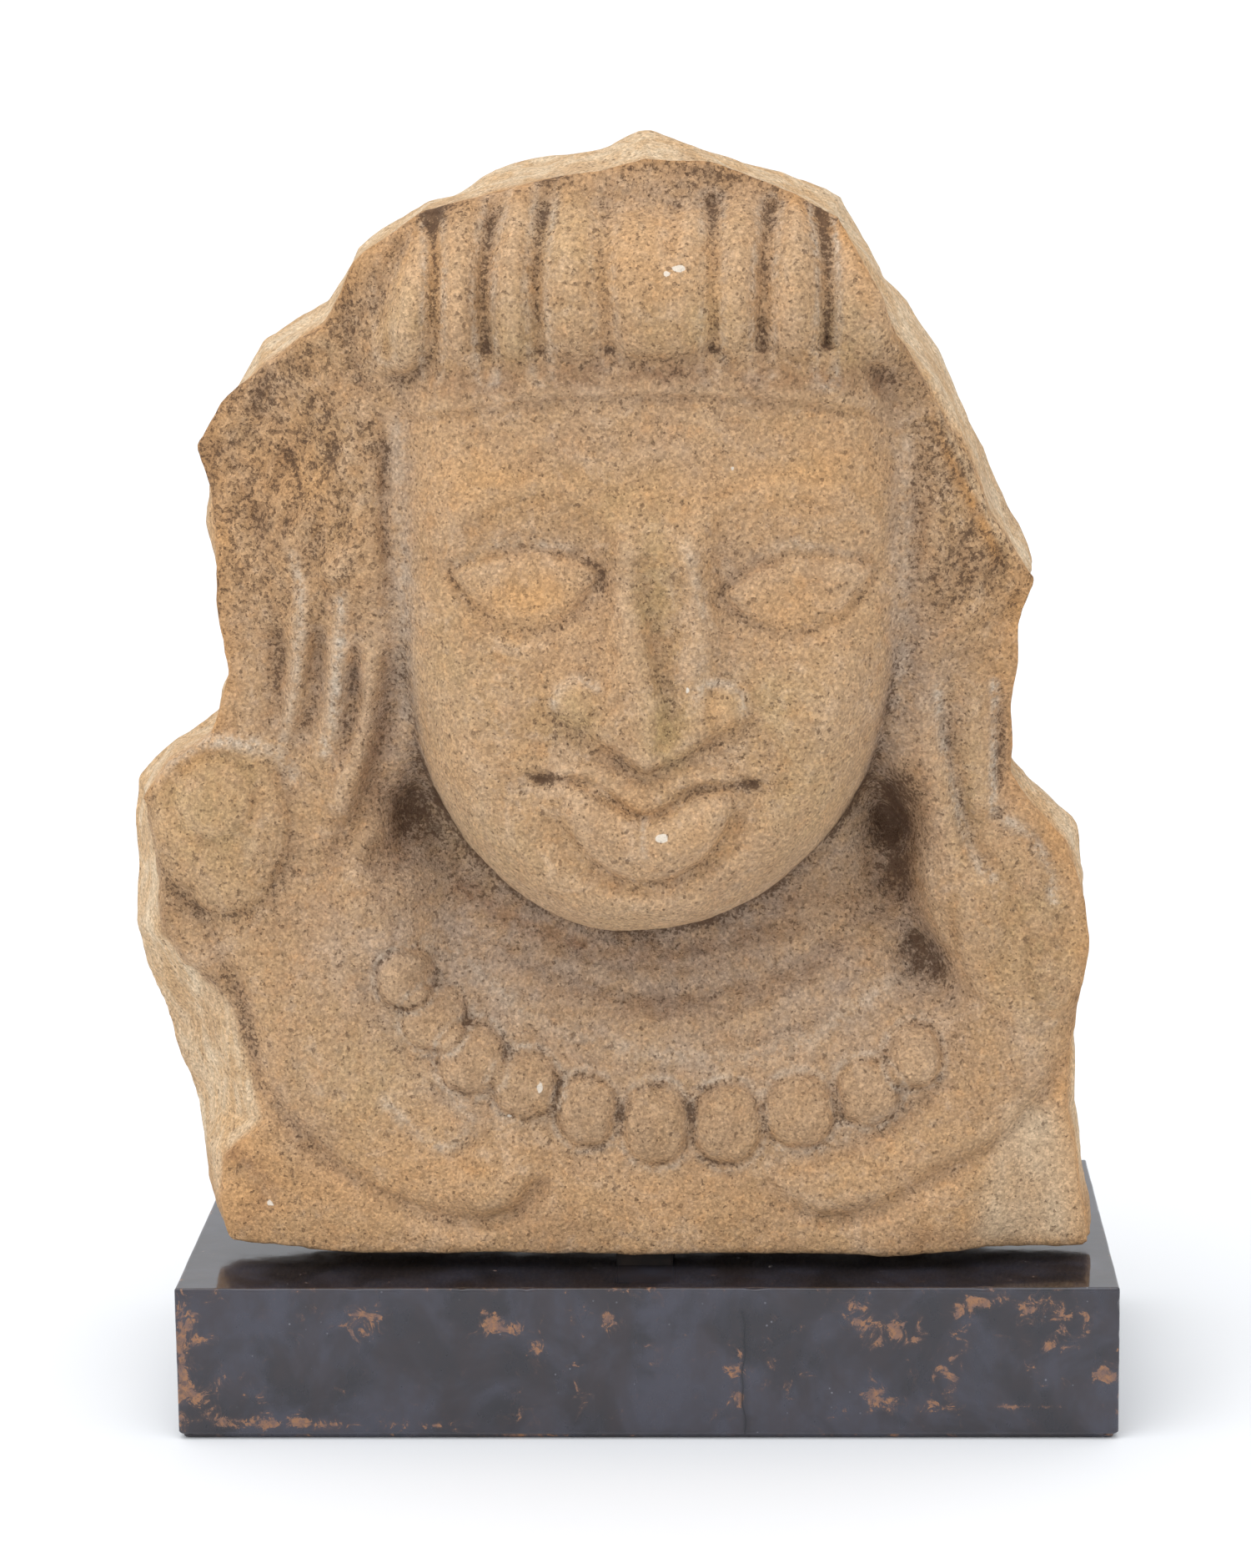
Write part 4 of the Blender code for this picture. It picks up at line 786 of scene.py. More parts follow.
# White chips: x, z and radii.
WHITE_CHIPS = [
    (14.4, 322.3, 4.2, 2.2), (10.5, 320.8, 2.0, 1.5), (-33.8, 57.5, 2.4, 4.0), (-45.2, 40.6, 1.6, 1.6),
    (7.5, 147.0, 4.4, 2.6), (15.8, 192.7, 1.8, 1.8), (30.5, 260.8, 1.2, 1.2), (-126.1, 24.6, 1.3, 2.0),
    (-125.1, 30.3, 1.5, 2.2), (-123.5, 17.6, 1.4, 2.2), (-127.0, 14.0, 1.2, 1.8), (-44, 47, 1.6, 1.2),
]


def gathered(x, z, spots):
    return np.clip(sum(s[4] * mound(x, z, *s[:4]) for s in spots), 0.0, 1.5)


def drawn(x, z, strokes):
    found = sum(much * line_mound(x, z, points, half_width) for half_width, much, points in strokes)
    return np.clip(found, 0.0, 1.2)


def edges_of_cuts(x, z):
    """Light edges on both sides of the cap's grooves and round the beads, partly worn stone and partly
    painted highlight.
    """
    found = np.zeros(x.shape)
    for deep, points in CAP_GROOVES:
        off = distance_to(x, z, curve_through(points))[0]
        found = np.maximum(found, 0.11 * deep * bell(off - 3.2, 1.3))
    for bead_x, bead_z, radius_x, radius_z in BEADS:
        off = np.hypot((x - bead_x) / radius_x, (z - bead_z) / radius_z)
        found = np.maximum(found, 0.9 * bell(off - 1.20, 0.10))
    return found


def bead_outlines(x, z):
    """Dirt and painted shade in the cut round each bead, mostly under it, where shade falls."""
    found, worn = np.zeros(x.shape), plane_noise(x, z, 7.0, 26)
    wander_x, wander_z = 1.6 * plane_noise(x, z, 8.0, 27), 1.6 * plane_noise(x, z, 8.0, 28)
    for bead_x, bead_z, radius_x, radius_z in BEADS:
        u, v = (x + wander_x - bead_x) / radius_x, (z + wander_z - bead_z) / radius_z
        ring = bell(np.hypot(u, v) - 1.02, 0.11)
        found = np.maximum(found, ring * (0.6 - 0.3 * v))
    return found * smooth_step(-0.5, 0.5, worn)


def cap_dirt_and_shade(x, z):
    """Dirt and painted shade in the cap's grooves, broken up, and painted shadow under the locks' round ends.
    """
    broken = smooth_step(-0.5, 0.5, plane_noise(x, z, 9.0, 29, 1.6))
    broken = broken * (0.75 + 0.5 * plane_noise(x, z, 2.6, 30))
    level = cap_level(x, z)
    parted, found = np.zeros(x.shape), np.zeros(x.shape)
    for deep, points in CAP_GROOVES:
        off, along = distance_to(x, z, curve_through(points))
        parted = np.maximum(parted, np.exp(-off / LOCK_ROUND))
        thick = 1.2 + 2.2 * smooth_step(0.45, 1.0, along)
        dark = (0.035 + 0.045 * smooth_step(0.5, 0.9, along)) * deep
        found = np.maximum(found, dark * (bell(off, thick) * broken + 0.4 * bell(off, 5.0)))
    # Painted shadow under the locks' round ends.
    ends = bell(level - CAP_FOOT + 1.0 - 7.0 * parted, 1.8) * smooth_step(86.0, 78.0, np.abs(x))
    grooves = found * smooth_step(CAP_FOOT - 2.0, CAP_FOOT + 4.0, level)
    return np.maximum(grooves, 0.55 * ends * (0.4 + 0.6 * broken))


def stone_colours(points):
    """What drives the stone's colour at each point, such as dirt with painted shade, painted highlights, grey
    and ochre patches and fresh breaks.
    """
    step = 1.0
    across, up = (np.arange(low, high + 1.0, step) for low, high in (STONE_ROOM[0], STONE_ROOM[2]))
    grid_x, grid_z = np.meshgrid(across, up, indexing="ij")
    carved = relief(grid_x, grid_z) + fine_detail(grid_x, grid_z)
    x, y, z = points.T
    near = looked_up(blurred(carved, 2.0) - carved, step, x, z)
    middle = looked_up(blurred(carved, 5.0) - carved, step, x, z)
    wide = looked_up(blurred(carved, 14.0) - carved, step, x, z)
    depth = looked_up(carved, step, x, z)
    lowest = depth
    for lift in (-2.5, 2.5):
        lowest = np.minimum(lowest, looked_up(carved, step, x, z + lift))
    front = smooth_step(7.0, 2.0, y + lowest)
    mottle = 0.5 + 0.5 * value_noise(points, 7.0, 21)
    patch = 0.5 + 0.5 * value_noise(points, 26.0, 22)
    streak = 0.5 + 0.5 * plane_noise(*aslant(x, z), 3.4, 23, 3.0)
    # Painted shade: darker where the carving is hollow, from its concavity at three scales.
    hollow_shade = np.clip(0.34 * near, 0.0, 0.8) + np.clip(0.08 * middle, 0.0, 0.45)
    hollow_shade += np.clip(0.006 * wide, 0.0, 0.1)
    hollow_shade *= 1.0 - 0.5 * mound(x, z, 3.0, 158.0, 36.0, 24.0)
    # Gathered dirt together with painted shade in the listed hollows and corners.
    grime_and_shade = 0.7 * gathered(x, z, GRIME_AND_SHADE) * (0.4 + 0.4 * mottle + 0.4 * streak)
    # Real dirt and soot together with painted shade in hollows, creases and grooves and under the locks'
    # ends.
    dirt_and_shade = front * (hollow_shade * (0.3 + 0.9 * mottle) + grime_and_shade)
    dirt_and_shade += front * side_hair(x, z) * (0.05 + 0.5 * streak * (0.5 + patch))
    # Dirt and painted shade round the beads, in the cap's grooves, under the locks' ends and along fine
    # creases.
    dirt_and_shade += front * (bead_outlines(x, z) + cap_dirt_and_shade(x, z) + drawn(x, z, DARK_LINES)) * (0.35 + 0.8 * mottle)
    veins = plane_noise(x + 0.4 * z, z - 0.12 * x, 5.0, 24, 0.4)
    dirt_and_shade += front * on_neck(x, z) * 0.12 * smooth_step(0.35, 0.8, 0.5 + 0.5 * veins)
    dirt_and_shade += 0.5 * smooth_step(5.0, 18.0, y) * smooth_step(0.45, 0.75, patch) * mottle
    grey = front * np.clip(gathered(x, z, GREY) * (0.5 + 0.7 * mottle) + 0.10 * wide, 0.0, 1.0)
    ochre = gathered(x, z, OCHRE) * (0.3 + 1.0 * patch) * (0.5 + 0.5 * front)
    away, _ = outline_distance(x, z)
    fresh = (1.0 - front) * smooth_step(-14.0, -6.0, -y)
    fresh = fresh * smooth_step(40.0, 60.0, z + 30.0 * (np.abs(x) > 120.0))
    rim = bell(y + depth - 3.0, 4.5) * smooth_step(-12.0, -3.0, away) * (0.5 + 0.6 * mottle)
    strip = front * smooth_step(88.0, 98.0, x) * smooth_step(222.0, 232.0, z) * smooth_step(306.0, 296.0, z)
    fresh = np.maximum(fresh, strip * smooth_step(-9.0, -6.5, away + 1.5 * mottle))
    rim = np.maximum(rim, strip * bell(away + 10.0, 2.0))
    chips = sum(1.2 * mound(x, z, c[0], c[1], 0.6 * c[2], 0.6 * c[3]) for c in WHITE_CHIPS)
    chips = np.clip(chips, 0.0, 1.0) * front
    pale = front * corner_chip(x, z, 6.0, 54.0, 44.0) * (0.35 + 0.65 * mottle) * smooth_step(0.0, 7.0, z)
    # Painted highlight: lighter stone over convex forms, from the carving's curvature.
    raised = np.clip(-0.5 * near - 0.15 * middle, 0.0, 1.0) * front
    # Light edges: partly worn pale stone, partly painted highlight.
    edge = front * np.maximum(drawn(x, z, LIGHT_EDGES), edges_of_cuts(x, z)) * (0.25 + 0.9 * mottle)
    # Brown stains, partly real and partly painted shade along folds and under the chin and locks.
    stain_and_shade = front * drawn(x, z, BROWN_STAINS_AND_SHADE) * (0.3 + 0.5 * mottle + 0.4 * streak)
    olive = front * gathered(x, z, OLIVE) * (0.5 + 0.6 * mottle)
    bead = front * np.clip(sum(0.9 * dome(x, z, *b) for b in BEADS), 0.0, 0.9) * (0.4 + 0.6 * mottle)
    pitted = front * (0.3 + 0.35 * smooth_step(290.0, 300.0, z) + 1.2 * side_hair(x, z))
    return dict(
        dirt_and_shade=np.clip(dirt_and_shade, 0.0, 1.4), grey=grey, ochre=np.clip(ochre, 0.0, 1.0), fresh=fresh, rim=rim,
        edge=edge, chips=chips, pale=pale, raised=raised, bead=bead, pitted=pitted, stain_and_shade=stain_and_shade, olive=olive,
    )


def mesh_object(name, points, faces, finish):
    mesh = bpy.data.meshes.new(name)
    corners = faces.shape[1]
    mesh.vertices.add(len(points))
    mesh.vertices.foreach_set("co", points.astype(np.float32).ravel())
    mesh.loops.add(len(faces) * corners)
    mesh.loops.foreach_set("vertex_index", faces.astype(np.int32).ravel())
    mesh.polygons.add(len(faces))
    mesh.polygons.foreach_set("loop_start", np.arange(0, len(faces) * corners, corners, dtype=np.int32))
    mesh.update(calc_edges=True)
    mesh.validate()
    made = bpy.data.objects.new(name, mesh)
    bpy.context.scene.collection.objects.link(made)
    if finish:
        mesh.materials.append(finish)
    return made


def read_mesh(mesh):
    points = np.empty(len(mesh.vertices) * 3, np.float32)
    mesh.vertices.foreach_get("co", points)
    mesh.calc_loop_triangles()
    triangles = np.empty(len(mesh.loop_triangles) * 3, np.int32)
    mesh.loop_triangles.foreach_get("vertices", triangles)
    return points.reshape(-1, 3).astype(float), triangles.reshape(-1, 3)


def thinned(points, quads, triangles):
    """The surface with about that many triangles, most of them where it curves."""
    rough = mesh_object("rough", points, quads, None)
    thin = rough.modifiers.new("thin", "DECIMATE")
    thin.ratio = min(1.0, triangles / (2 * len(quads)))
    made = rough.evaluated_get(bpy.context.evaluated_depsgraph_get())
    found = read_mesh(made.to_mesh())
    made.to_mesh_clear()
    bpy.data.objects.remove(rough)
    return found


def with_values(made, values):
    for name, value in values.items():
        layer = made.data.attributes.new(name, "FLOAT", "POINT")
        layer.data.foreach_set("value", value.astype(np.float32))


class Nodes:
    """Short names for building a material's nodes."""

    def __init__(self, name):
        self.material = bpy.data.materials.new(name)
        self.material.use_nodes = True
        self.tree = self.material.node_tree
        self.shader = self.tree.nodes["Principled BSDF"]

    def put(self, socket, value):
        if hasattr(value, "is_output"):
            self.tree.links.new(value, socket)
        elif hasattr(socket.default_value, "__len__") and len(value) == 3 and len(socket.default_value) == 4:
            socket.default_value = (*value, 1.0)
        else:
            socket.default_value = value

    def value(self, name):
        node = self.tree.nodes.new("ShaderNodeAttribute")
        node.attribute_name = name
        return node.outputs["Fac"]

    def place(self, scale=(1, 1, 1)):
        where = self.tree.nodes.new("ShaderNodeTexCoord").outputs["Object"]
        move = self.tree.nodes.new("ShaderNodeMapping")
        move.inputs["Scale"].default_value = scale
        self.put(move.inputs["Vector"], where)
        return move.outputs["Vector"]

    def noise(self, size, detail=2.0, rough=0.5, at=None, distortion=0.0):
        """Noise whose features are about that many metres across."""
        node = self.tree.nodes.new("ShaderNodeTexNoise")
        self.put(node.inputs["Vector"], at or self.place())
        settings = {"Scale": 1.0 / size, "Detail": detail, "Roughness": rough, "Distortion": distortion}
        for key, value in settings.items():
            node.inputs[key].default_value = value
        return node.outputs["Fac"]

    def cells(self, size, output="Distance"):
        node = self.tree.nodes.new("ShaderNodeTexVoronoi")
        self.put(node.inputs["Vector"], self.place())
        node.inputs["Scale"].default_value = 1.0 / size
        return node.outputs[output]

    def math(self, kind, a, b, clamp=False):
        node = self.tree.nodes.new("ShaderNodeMath")
        node.operation, node.use_clamp = kind, clamp
        self.put(node.inputs[0], a)
        self.put(node.inputs[1], b)
        return node.outputs[0]

    def times(self, a, b):
        return self.math("MULTIPLY", a, b)

    def plus(self, a, b):
        return self.math("ADD", a, b)

    def patchy(self, name, noise, low, high, least, most):
        """A value of the mesh, weaker where the noise is low."""
        kept = self.between(noise, low, high, least, most)
        return self.math("MULTIPLY", self.value(name), kept, clamp=True)

    def between(self, value, low, high, to_low=0.0, to_high=1.0):
        """Where the value lies from low to high, with soft ends."""
        node = self.tree.nodes.new("ShaderNodeMapRange")
        node.interpolation_type = "SMOOTHSTEP"
        for key, number in (("From Min", low), ("From Max", high), ("To Min", to_low), ("To Max", to_high)):
            node.inputs[key].default_value = number
        self.put(node.inputs["Value"], value)
        return node.outputs["Result"]

    def mix(self, share, a, b, kind="MIX"):
        node = self.tree.nodes.new("ShaderNodeMix")
        node.data_type, node.blend_type, node.clamp_factor = "RGBA", kind, True
        self.put(node.inputs["Factor"], share)
        self.put(node.inputs[6], a)
        self.put(node.inputs[7], b)
        return node.outputs[2]

    def bump(self, height, strength, distance):
        node = self.tree.nodes.new("ShaderNodeBump")
        node.inputs["Strength"].default_value = strength
        node.inputs["Distance"].default_value = distance
        self.put(node.inputs["Height"], height)
        return node.outputs["Normal"]

    def finished(self, sockets):
        """The material, with its shader's sockets set or linked."""
        for name, value in sockets.items():
            self.put(self.shader.inputs[name], value)
        return self.material


# How much brighter than its own colour the light makes the carved front look.
LIGHT = 1.15


def srgb(red, green, blue):
    """A colour as seen, from 0 to 255, as the linear share that the surface returns."""
    return tuple(
        (c / 255.0 / 12.92 if c <= 10 else ((c / 255.0 + 0.055) / 1.055) ** 2.4) / LIGHT
        for c in (red, green, blue)
    )


def sandstone():
    n = Nodes("sandstone")
    broad = n.noise(0.045, 3.0, 0.6)
    cloud = n.noise(0.011, 4.0, 0.65, distortion=0.4)
    spots = n.noise(0.0055, 4.0, 0.65)
    veil = n.noise(0.018, 6.0, 0.72, distortion=0.8)
    streaks = n.noise(0.013, 6.0, 0.68, n.place((1, 1, 0.6)), 0.6)
    fresh = n.mix(n.between(streaks, 0.34, 0.64), srgb(224, 200, 168), srgb(206, 170, 128))
    fresh = n.mix(n.between(broad, 0.48, 0.66, 0.0, 0.6), fresh, srgb(190, 156, 120))
    colour = n.mix(n.between(broad, 0.35, 0.65), srgb(186, 150, 110), srgb(198, 161, 121))
    stain_and_shade = n.patchy("stain_and_shade", n.noise(0.004, 4.0, 0.65), 0.3, 0.62, 0.25, 1.0)
    for share, seen in (
        (n.between(cloud, 0.32, 0.68, 0.0, 0.6), srgb(176, 142, 110)),
        (n.between(spots, 0.50, 0.72, 0.0, 0.42), srgb(212, 160, 108)),
        (n.between(spots, 0.46, 0.28, 0.0, 0.42), srgb(196, 170, 146)),
        (n.between(veil, 0.50, 0.68, 0.0, 0.5), srgb(212, 182, 152)),
        (n.between(veil, 0.48, 0.30, 0.0, 0.5), srgb(172, 132, 92)),
        (n.patchy("ochre", cloud, 0.25, 0.6, 0.35, 1.0), srgb(212, 163, 110)),
        (n.patchy("grey", n.noise(0.007, 4.0, 0.6), 0.3, 0.65, 0.35, 1.0), srgb(184, 160, 138)),
        (n.patchy("olive", n.noise(0.009, 4.0, 0.6), 0.3, 0.62, 0.25, 0.9), srgb(188, 162, 112)),
        (n.value("bead"), srgb(172, 138, 104)),
        # Brown of real stains and of painted shade along folds, under the chin and under the locks.
        (n.times(stain_and_shade, 0.75), srgb(138, 100, 72)),
        (n.value("pale"), srgb(216, 190, 158)),
        (n.value("fresh"), fresh),
        (n.times(n.value("rim"), 0.8), srgb(204, 150, 92)),
        # Painted highlight over convex forms.
        (n.times(n.value("raised"), 0.45), srgb(214, 184, 152)),
        # Pale edges, partly worn stone and partly painted highlight.
        (n.patchy("edge", n.noise(0.0035, 4.0, 0.7), 0.32, 0.6, 0.1, 0.95), srgb(204, 186, 165)),
    ):
        colour = n.mix(share, colour, seen)
    grains = n.plus(n.times(n.cells(0.0008, "Color"), 0.60), 0.72)
    grains = n.times(grains, n.between(n.noise(0.0013, 3.0, 0.7), 0.25, 0.75, 0.78, 1.25))
    colour = n.mix(1.0, colour, grains, "MULTIPLY")
    specks = n.between(n.plus(n.noise(0.0014, 4.0, 0.75), n.times(n.value("dirt_and_shade"), 0.17)), 0.60, 0.70)
    pits = n.between(n.plus(n.noise(0.0022, 2.0, 0.5), n.times(n.value("pitted"), 0.05)), 0.66, 0.74)
    chips = n.between(n.plus(n.value("chips"), n.times(n.noise(0.0025, 3.0), 0.6)), 0.85, 1.0)
    for share, seen in (
        # Darker brown where the stone is dirty and where shade is painted into hollows and creases.
        (n.patchy("dirt_and_shade", spots, 0.3, 0.6, 0.15, 0.62), srgb(122, 94, 70)),
        (n.times(specks, 0.78), srgb(92, 68, 52)),
        (n.times(pits, 0.55), srgb(104, 78, 58)),
        (chips, srgb(240, 226, 208)),
    ):
        colour = n.mix(share, colour, seen)
    height = n.plus(n.noise(0.0010, 3.0, 0.65), n.times(n.noise(0.0034, 4.0, 0.6), 1.1))
    height = n.math("SUBTRACT", height, n.times(pits, 0.5))
    height = n.math("SUBTRACT", height, n.times(specks, 0.2))
    return n.finished({
        "Base Color": colour, "Roughness": 0.92, "Specular IOR Level": 0.25,
        "Normal": n.bump(height, 1.0, 0.0007),
    })


def build_stone():
    points, quads = stone_mesh(STONE_VOXEL)
    points, triangles = thinned(points, quads, STONE_TRIANGLES)
    normals = normals_of(points, triangles, (0, 1), (0, 2))
    values = stone_colours(points)
    in_seat = np.maximum(np.abs(points[:, 0] - SEAT[0]), np.abs(points[:, 1] - SEAT[1])) < 13.0
    rough = 0.22 * value_noise(points, 3.6, 31) + 0.16 * value_noise(points, 2.2, 32)
    behind = smooth_step(5.0, 18.0, points[:, 1])
    x, z = points[:, 0], points[:, 2]
    hewn = plane_noise(0.8 * x + 0.6 * z, 0.8 * z - 0.6 * x, 9.0, 33, 2.6)
    hollowed = 1.5 + 1.1 * hewn + 1.5 * value_noise(points, 18.0, 34) + 0.5 * value_noise(points, 5.5, 35)
    rough = rough - behind * np.maximum(hollowed, 0.0)
    points = points + normals * (rough * ~(in_seat & (points[:, 2] < 30.0)))[:, None]
    world = (points - np.array([*SEAT, 0.0])) * UNIT + np.array([POST_X, POST_Y, STONE_BED])
    low, high = (np.array(corner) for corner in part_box("stone_bust"))
    world = np.clip(world, low + 1e-5, high - 1e-5)
    stone = mesh_object("carved_stone", world, triangles, sandstone())
    stone.data.shade_smooth()
    with_values(stone, values)
    return stone


stone = build_stone()
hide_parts("stone_bust")
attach(stone, "root")


# Worn lacquer on the block's front, in millimetres from its centre and foot: x, z, radii and how much.
WORN_SPOTS = [
    (-148, 41, 4, 7, 0.9), (-144, 33, 6, 4, 0.6), (-149, 20, 3, 10, 0.6), (-145, 12, 6, 6, 0.7),
    (-136, 20, 10, 5, 0.4), (-151, 28, 1.5, 22, 0.7), (-128, 6, 20, 2.2, 0.8), (-100, 5, 22, 2, 0.7),
    (-66, 5, 16, 2, 0.5), (-124, 13, 4, 6, 0.5), (-88, 41, 6, 6, 0.7), (-92, 36, 5, 4, 0.5),
    (-105, 41, 14, 5, 0.35), (-50, 41, 5, 4, 0.9), (-44, 37, 7, 3, 0.9), (-34, 31, 5, 5, 0.7),
    (-42, 13, 4, 8, 0.5), (-22, 18, 3, 10, 0.5), (-12, 40, 4, 5, 0.9), (29, 24, 4, 7, 0.8),
    (30, 14, 3, 5, 0.7), (40, 25, 3, 4, 0.4), (48, 22, 4, 5, 0.5), (42, 17, 5, 3, 0.4), (66, 43, 6, 5, 0.6),
    (78, 39, 10, 5, 0.8), (72, 33, 6, 3, 0.6), (85, 33, 5, 4, 0.5), (104, 45, 5, 4, 0.9),
    (101, 38, 4, 5, 0.6), (125, 44, 6, 4, 1.0), (113, 47, 8, 2, 0.6), (134, 41, 3, 6, 0.8),
    (132, 31, 4, 4, 0.8), (143, 41, 3, 4, 0.7), (98, 22, 3, 8, 0.9), (97, 14, 6, 3, 0.6),
    (76, 14, 6, 4, 0.9), (73, 22, 2, 8, 0.5), (120, 24, 6, 5, 0.3), (148, 22, 4, 5, 1.1),
    (117, 11, 6, 2, 0.5), (92, 10, 20, 1.6, 0.6), (126, 11, 12, 1.2, 0.5), (139, 33, 3, 3, 0.6),
]
CRACK_X, CRACK_TOP = 31.5, 18.0


def block_axis(half, extra, fine):
    """Coordinates along one side of the block, close together near its edges and at the extra places."""
    rim = [0.0, 0.25, 0.55, 0.9, 1.3, 1.9, 2.7]
    middle = np.linspace(-half + 3.6, half - 3.6, int((2 * half - 7.2) / fine) + 1)
    middle = [v for v in middle if all(abs(v - e) > 0.45 * fine for e in extra)]
    return np.array(sorted([-half + r for r in rim] + [half - r for r in rim] + list(middle) + list(extra)))


def build_base():
    """The block as one skin of small quads, with eased edges, a socket for the post, nicks and a crack."""
    half_x, half_y, high = BASE_WIDTH * 500, BASE_DEPTH * 500, BASE_HEIGHT * 1000
    socket = HALF_POST + FIT_CLEARANCE * 1000
    post_x, post_y = POST_X * 1000, POST_Y * 1000
    floor = high - (POST_SEAT_IN_BASE + FIT_CLEARANCE) * 1000
    crack = [CRACK_X - 0.35, CRACK_X, CRACK_X + 0.35]
    xs = block_axis(half_x, [post_x - socket, post_x + socket, *crack], 1.6)
    ys = block_axis(half_y, [post_y - socket, post_y + socket], 2.2)
    zs = block_axis(high / 2, [floor - high / 2], 1.5) + high / 2
    middles = [(v[1:] + v[:-1]) / 2 for v in (xs, ys, zs)]
    mx, my, mz = np.meshgrid(*middles, indexing="ij")
    solid = ~((np.abs(mx - post_x) < socket) & (np.abs(my - post_y) < socket) & (mz > floor))
    solid = np.pad(solid, 1)
    shape = tuple(len(v) for v in (xs, ys, zs))
    quads = []
    for axis in range(3):
        a, b = neighbours(solid, axis)
        at = np.argwhere(a != b)
        outward = a[tuple(at.T)]
        ring = rings(at, axis, 0, lambda corner: np.ravel_multi_index(corner, shape))
        quads.append(np.where(outward[:, None], ring, ring[:, ::-1]))
    quads = np.concatenate(quads)
    used, quads = np.unique(quads, return_inverse=True)
    quads = quads.reshape(-1, 4)
    i, j, k = np.unravel_index(used, shape)
    points = np.stack([xs[i], ys[j], zs[k]], 1)
    centre = np.array([0.0, 0.0, high / 2])
    half = np.array([half_x, half_y, high / 2])
    off = points - centre
    to_side = half - np.abs(off)
    in_socket = (np.abs(off[:, 0] - post_x) < socket + 0.01) & (np.abs(off[:, 1] - post_y) < socket + 0.01)
    near_edge = np.sort(to_side, axis=1)[:, 1]
    wobble = value_noise(points, 9.0, 41)
    nick = np.clip(value_noise(points, 3.5, 42) - 0.45, 0.0, 1.0) * 2.2
    ease = 0.8 + 0.25 * wobble + 1.6 * nick * smooth_step(3.0, 0.5, near_edge)
    ease = np.where(off[:, 2] < 0, np.maximum(ease, 1.2), ease)[:, None]
    core = np.clip(off, -(half - ease), half - ease)
    away = off - core
    length = np.linalg.norm(away, axis=1)[:, None]
    eased = np.where(length > 0, core + away * np.minimum(1.0, ease / np.maximum(length, 1e-9)), off)
    foot = np.minimum(to_side[:, 0], to_side[:, 1]) + (off[:, 2] + half[2])
    cut_back = np.clip((BASE_FOOT_CHAMFER * 1000 - foot) / 2, 0.0, None) * (near_edge < 3.0)
    pulled = eased - np.sign(off) * cut_back[:, None] * (to_side < 3.0)
    points = np.where(in_socket[:, None], off, pulled)
    on_front = off[:, 1] < -half_y + 0.01
    wander = 0.5 * np.sin(off[:, 2] / 5.0) + 0.3 * np.sin(off[:, 2] / 1.7)
    beside = bell(off[:, 0] - CRACK_X, 2.5)
    points[:, 0] += np.where(on_front, wander * beside, 0.0)
    in_crack = on_front & (np.abs(off[:, 0] - CRACK_X) < 0.01) & (off[:, 2] < CRACK_TOP)
    points[:, 1] += np.where(in_crack, 0.45 * smooth_step(CRACK_TOP, 10.0, off[:, 2]), 0.0)
    points = points + centre
    x, z = points[:, 0], points[:, 2]
    worn = np.where(on_front | (points[:, 1] < -half_y + 2.0), gathered(x, z, WORN_SPOTS), 0.0)
    patches = np.clip(value_noise(points, 14.0, 43), 0, 1)
    edge_worn = smooth_step(2.4, 0.4, near_edge) * (0.25 + 0.5 * nick + 0.5 * patches)
    sides = np.clip(value_noise(points, 16.0, 44) - 0.35, 0.0, 1.0) * 1.3
    sides = sides * (~on_front) * (off[:, 2] < half[2] - 2.0)
    cracked = np.where(on_front, bell(off[:, 0] - CRACK_X, 0.4) * (off[:, 2] < CRACK_TOP), 0.0)
    low, top = (np.array(corner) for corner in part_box("base_block"))
    world = np.clip(points / 1000.0, low, top)
    base = mesh_object("lacquered_block", world, quads, lacquer())
    base.data.shade_smooth()
    base.data.polygons.foreach_set("use_smooth", ~in_socket[quads].any(axis=1))
    top = smooth_step(half[2] - 1.5, half[2] - 0.2, off[:, 2])
    with_values(base, dict(worn=np.clip(worn + edge_worn * 0.7 + sides, 0.0, 1.5), crack=cracked, top=top))
    return base


